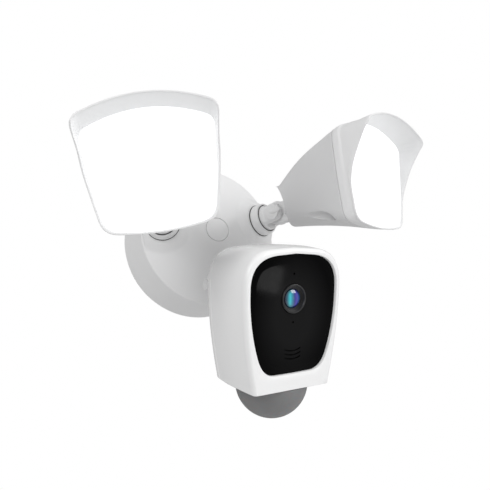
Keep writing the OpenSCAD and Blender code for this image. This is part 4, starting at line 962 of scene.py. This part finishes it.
# %% Face plate with its slits and holes
def face_plate_mesh():
    rows = [(face_outline(BAND + 0.2), -4.4), (face_outline(BAND + 0.2), -2.35), (face_outline(BAND + 0.3), -2.1), (face_outline(BAND + 0.6), -2.0)]
    rings = [[(x, y, z) for x, y in ring] for ring, z in rows]
    rim = face_outline(BAND + 0.6)
    rings += [[(x * s, (y + 10) * s - 10, -2.0) for x, y in rim] for s in (0.85, 0.6, 0.3, 0.03)]
    me = skin("plate", rings)
    me = cut(me, skin("hole", turned_rings([(10.05, -6), (10.05, -2.25), (10.3, -1.9)], 96)))
    for y in (17, -16):
        me = cut(me, rod(0.8, -3.6, 0, 0, y, 24))
    slits = run_tree(*SLITS, {"Slits": 3, "Pitch": 2.8, "Bend Radius": 16.0, "Half Angle": 0.44, "Slit Width": 0.9, "Depth": 3.2, "Finish": face_black})
    slits.transform(Matrix.Translation((0, -35.6 + 16, -2.0)))
    outward_faces(slits)
    return cut(me, slits)

piece("smoked_face_plate", face_plate_mesh(), LENS, "camera", face_black, ("face_plate",), sharp=25)

# %% [markdown]
# The lens: a satin ring proud of the plate, a stepped funnel inside it, and the coated
# front glass.

# %% Lens
ring_profile = [(6.9, -22), (8.0, -22), (8.0, -4.4), (9.98, -4.4)] + corner(9.98, -1.5, 9.5, -1.02, 4, 9.98, -1.02) \
    + corner(9.0, -1.0, 8.6, -1.5, 3, 8.7, -1.0) + [(8.5, -2.2), (8.1, -2.3), (8.05, -2.9), (7.5, -3.0), (7.45, -3.6), (6.9, -3.7)]
piece("lens_ring", skin("ring", turned_rings(ring_profile), wrap=True), LENS, "camera", black_satin, ("lens_barrel",))
glass = [(0.02, -1.75), (1.5, -1.82), (3, -2.05), (4.5, -2.45), (5.8, -3.0), (6.75, -3.55), (6.78, -5.0), (0.02, -5.0)]
piece("lens_front_glass", skin("glass", turned_rings(glass)), LENS, "camera", lens_painted_reflection, ("lens_glass",), sharp=60)

# %% [markdown]
# The motion sensor sits under a ribbed grey dome that hangs below the housing. The
# ribs are fine facets moulded inside it, seen through the satin skin as soft cells.

# %% Sensor dome
DOME_BALL = 26.0
dome_profile = [(DOME_BALL * math.sin(a), DOME_BALL * math.cos(a)) for a in (math.pi / 2 * i / 40 for i in range(41))]
dome_profile[0] = (0.02, DOME_BALL)
dome_profile += [(DOME_BALL - 0.1, -0.02), (24.2, 0.0), (24.0, 2.0)]
dome_profile += [(24.2 * math.sin(a), 24.2 * math.cos(a)) for a in (math.pi / 2 * (1 - i / 12) for i in range(1, 12))] + [(0.02, 24.2)]
dome_space = LENS @ Matrix.Translation((0, -CAM_DOWN, NECK_Z)) @ Matrix.Rotation(math.radians(90), 4, "X")
flange = corner(25.0, 0.02, 25.0, 1.5, 2) + [(17.5, 1.5), (17.5, -4.4), (15.8, -4.4), (15.8, 0.02)]
dome_mesh = joined([skin("dome", turned_rings(dome_profile, 128)), skin("flange", turned_rings(flange, 96), wrap=True)], "dome")
piece("sensor_dome", dome_mesh, dome_space, "camera", dome_gray, ("motion_dome",), sharp=40)

# %% [markdown]
# The rest of the solid model's nodes already have their true shape, so they keep
# it and get a finish of their own.

# %% Finishes on the carried-over nodes
FINISH = {"wall_gasket": foam, "mounting_strap": zinc, "center_screw": screw_steel, "driver_board": board_green,
          "driver_parts": parts_dark, "terminal_block": ivory, "pan_pin": screw_steel,
          "cover_seal": rubber, "main_board": board_green, "speaker": black_satin, "sensor_board": board_green,
          "card_cover": soft_gray, "reset_button": soft_gray}
for side in SIDES:
    FINISH.update({side + "_arm_nut": zinc, side + "_knuckle_nut": screw_steel,
                   side + "_led_board": board_white, side + "_reflector": reflector_white, side + "_lens_gasket": rubber})
for node, material in FINISH.items():
    data = NODE[node].data
    data.materials.clear()
    data.materials.append(material)
POSTS_IN_BASE = [(28, 40), (-28, 40), (34, -30), (-34, -30)]
screws("board_fixing_screws", [([(x, y, 16.0) for x, y in POSTS_IN_BASE], 3.0, 2.0, 1.2, 9.0)], ROOT, "base", "board_screws")
print("finished nodes:", len(FINISH))

# %% [markdown]
# The studio: a pale floor far below, because the real object hangs on a wall, a
# white surround, a large soft key light from the upper right and a weak fill. The
# surround lights the scene less than it shows, so the shading keeps its depth.

# %% Floor, surround and lights
floor = bpy.data.meshes.new("floor")
floor.from_pydata([(-1.2, -1.2, -1.0), (1.2, -1.2, -1.0), (1.2, 1.2, -1.0), (-1.2, 1.2, -1.0)], [], [(0, 1, 2, 3)])
floor_ob = bpy.data.objects.new("studio_floor", floor)
bpy.context.scene.collection.objects.link(floor_ob)
floor.materials.append(moulded("studio_floor_paint", (0.9, 0.9, 0.9), 0.7, grain=300))
floor_ob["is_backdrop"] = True

world = bpy.data.worlds.new("studio")
bpy.context.scene.world = world
world.use_nodes = True
wt = world.node_tree
for n in list(wt.nodes):
    wt.nodes.remove(n)
shown = wt.nodes.new("ShaderNodeBackground")
shown.inputs["Color"].default_value = (1, 1, 1, 1)
shown.inputs["Strength"].default_value = 1.0
soft = wt.nodes.new("ShaderNodeBackground")
coord = wt.nodes.new("ShaderNodeTexCoord")
dot = wt.nodes.new("ShaderNodeVectorMath")
dot.operation = "DOT_PRODUCT"
dot.inputs[1].default_value = Vector((0.3, -0.8, 0.5)).normalized()
wt.links.new(coord.outputs["Generated"], dot.inputs[0])
fade = wt.nodes.new("ShaderNodeMapRange")
fade.inputs["From Min"].default_value, fade.inputs["From Max"].default_value = -1.0, 1.0
fade.inputs["To Min"].default_value, fade.inputs["To Max"].default_value = 0.45, 0.8
wt.links.new(dot.outputs["Value"], fade.inputs["Value"])
wt.links.new(fade.outputs["Result"], soft.inputs["Strength"])
ray = wt.nodes.new("ShaderNodeLightPath")
mix = wt.nodes.new("ShaderNodeMixShader")
out = wt.nodes.new("ShaderNodeOutputWorld")
wt.links.new(ray.outputs["Is Camera Ray"], mix.inputs[0])
wt.links.new(soft.outputs[0], mix.inputs[1])
wt.links.new(shown.outputs[0], mix.inputs[2])
wt.links.new(mix.outputs[0], out.inputs[0])

def area_light(name, place, aim, size, watts):
    data = bpy.data.lights.new(name, "AREA")
    data.shape, data.size, data.size_y, data.energy = "RECTANGLE", size[0], size[1], watts
    ob = bpy.data.objects.new(name, data)
    ob.location = place
    ob.rotation_euler = (Vector(aim) - Vector(place)).to_track_quat("-Z", "Y").to_euler()
    bpy.context.scene.collection.objects.link(ob)
    return ob

area_light("key_softbox", (1.0, -1.2, 0.35), (0, -0.08, 0), (0.8, 0.8), 10)
area_light("fill_softbox", (-1.1, -0.9, 0.55), (0, -0.08, 0), (0.8, 0.8), 7)
area_light("plate_sheen_card", (0.55, -0.75, -0.42), (-0.016, -0.149, -0.06), (0.075, 0.06), 0.06)
bpy.context.scene.view_settings.view_transform = "Standard"

# %% [markdown]
# The camera stands below and to the left of the object and looks up at it, rolled
# by some eleven degrees, with a normal lens.

# %% Camera
view_right, view_up = Vector((0.8817, -0.4391, -0.173)), Vector((0.0444, -0.2878, 0.9567))
view_back = view_right.cross(view_up).normalized()
view_up = view_back.cross(view_right).normalized()
cam_data = bpy.data.cameras.new("studio_camera")
cam_data.lens, cam_data.sensor_width = 43.24, 36.0
cam_data.clip_start, cam_data.clip_end = 0.01, 50.0
cam = bpy.data.objects.new("studio_camera", cam_data)
cam.matrix_world = Matrix.Translation((-0.2081, -0.4735, -0.1296)) @ Matrix(
    (view_right.normalized(), view_up, view_back)).transposed().to_4x4()
bpy.context.scene.collection.objects.link(cam)
bpy.context.scene.camera = cam

# %% Sizes of the solid model and of the visual pieces
low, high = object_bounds()
{"cad": [list(cad_low), list(cad_high)], "visual": [list(low), list(high)]}
print("cad box", [round(v * 1000, 1) for v in (*cad_low, *cad_high)])
print("visual box", [round(v * 1000, 1) for v in (*low, *high)])
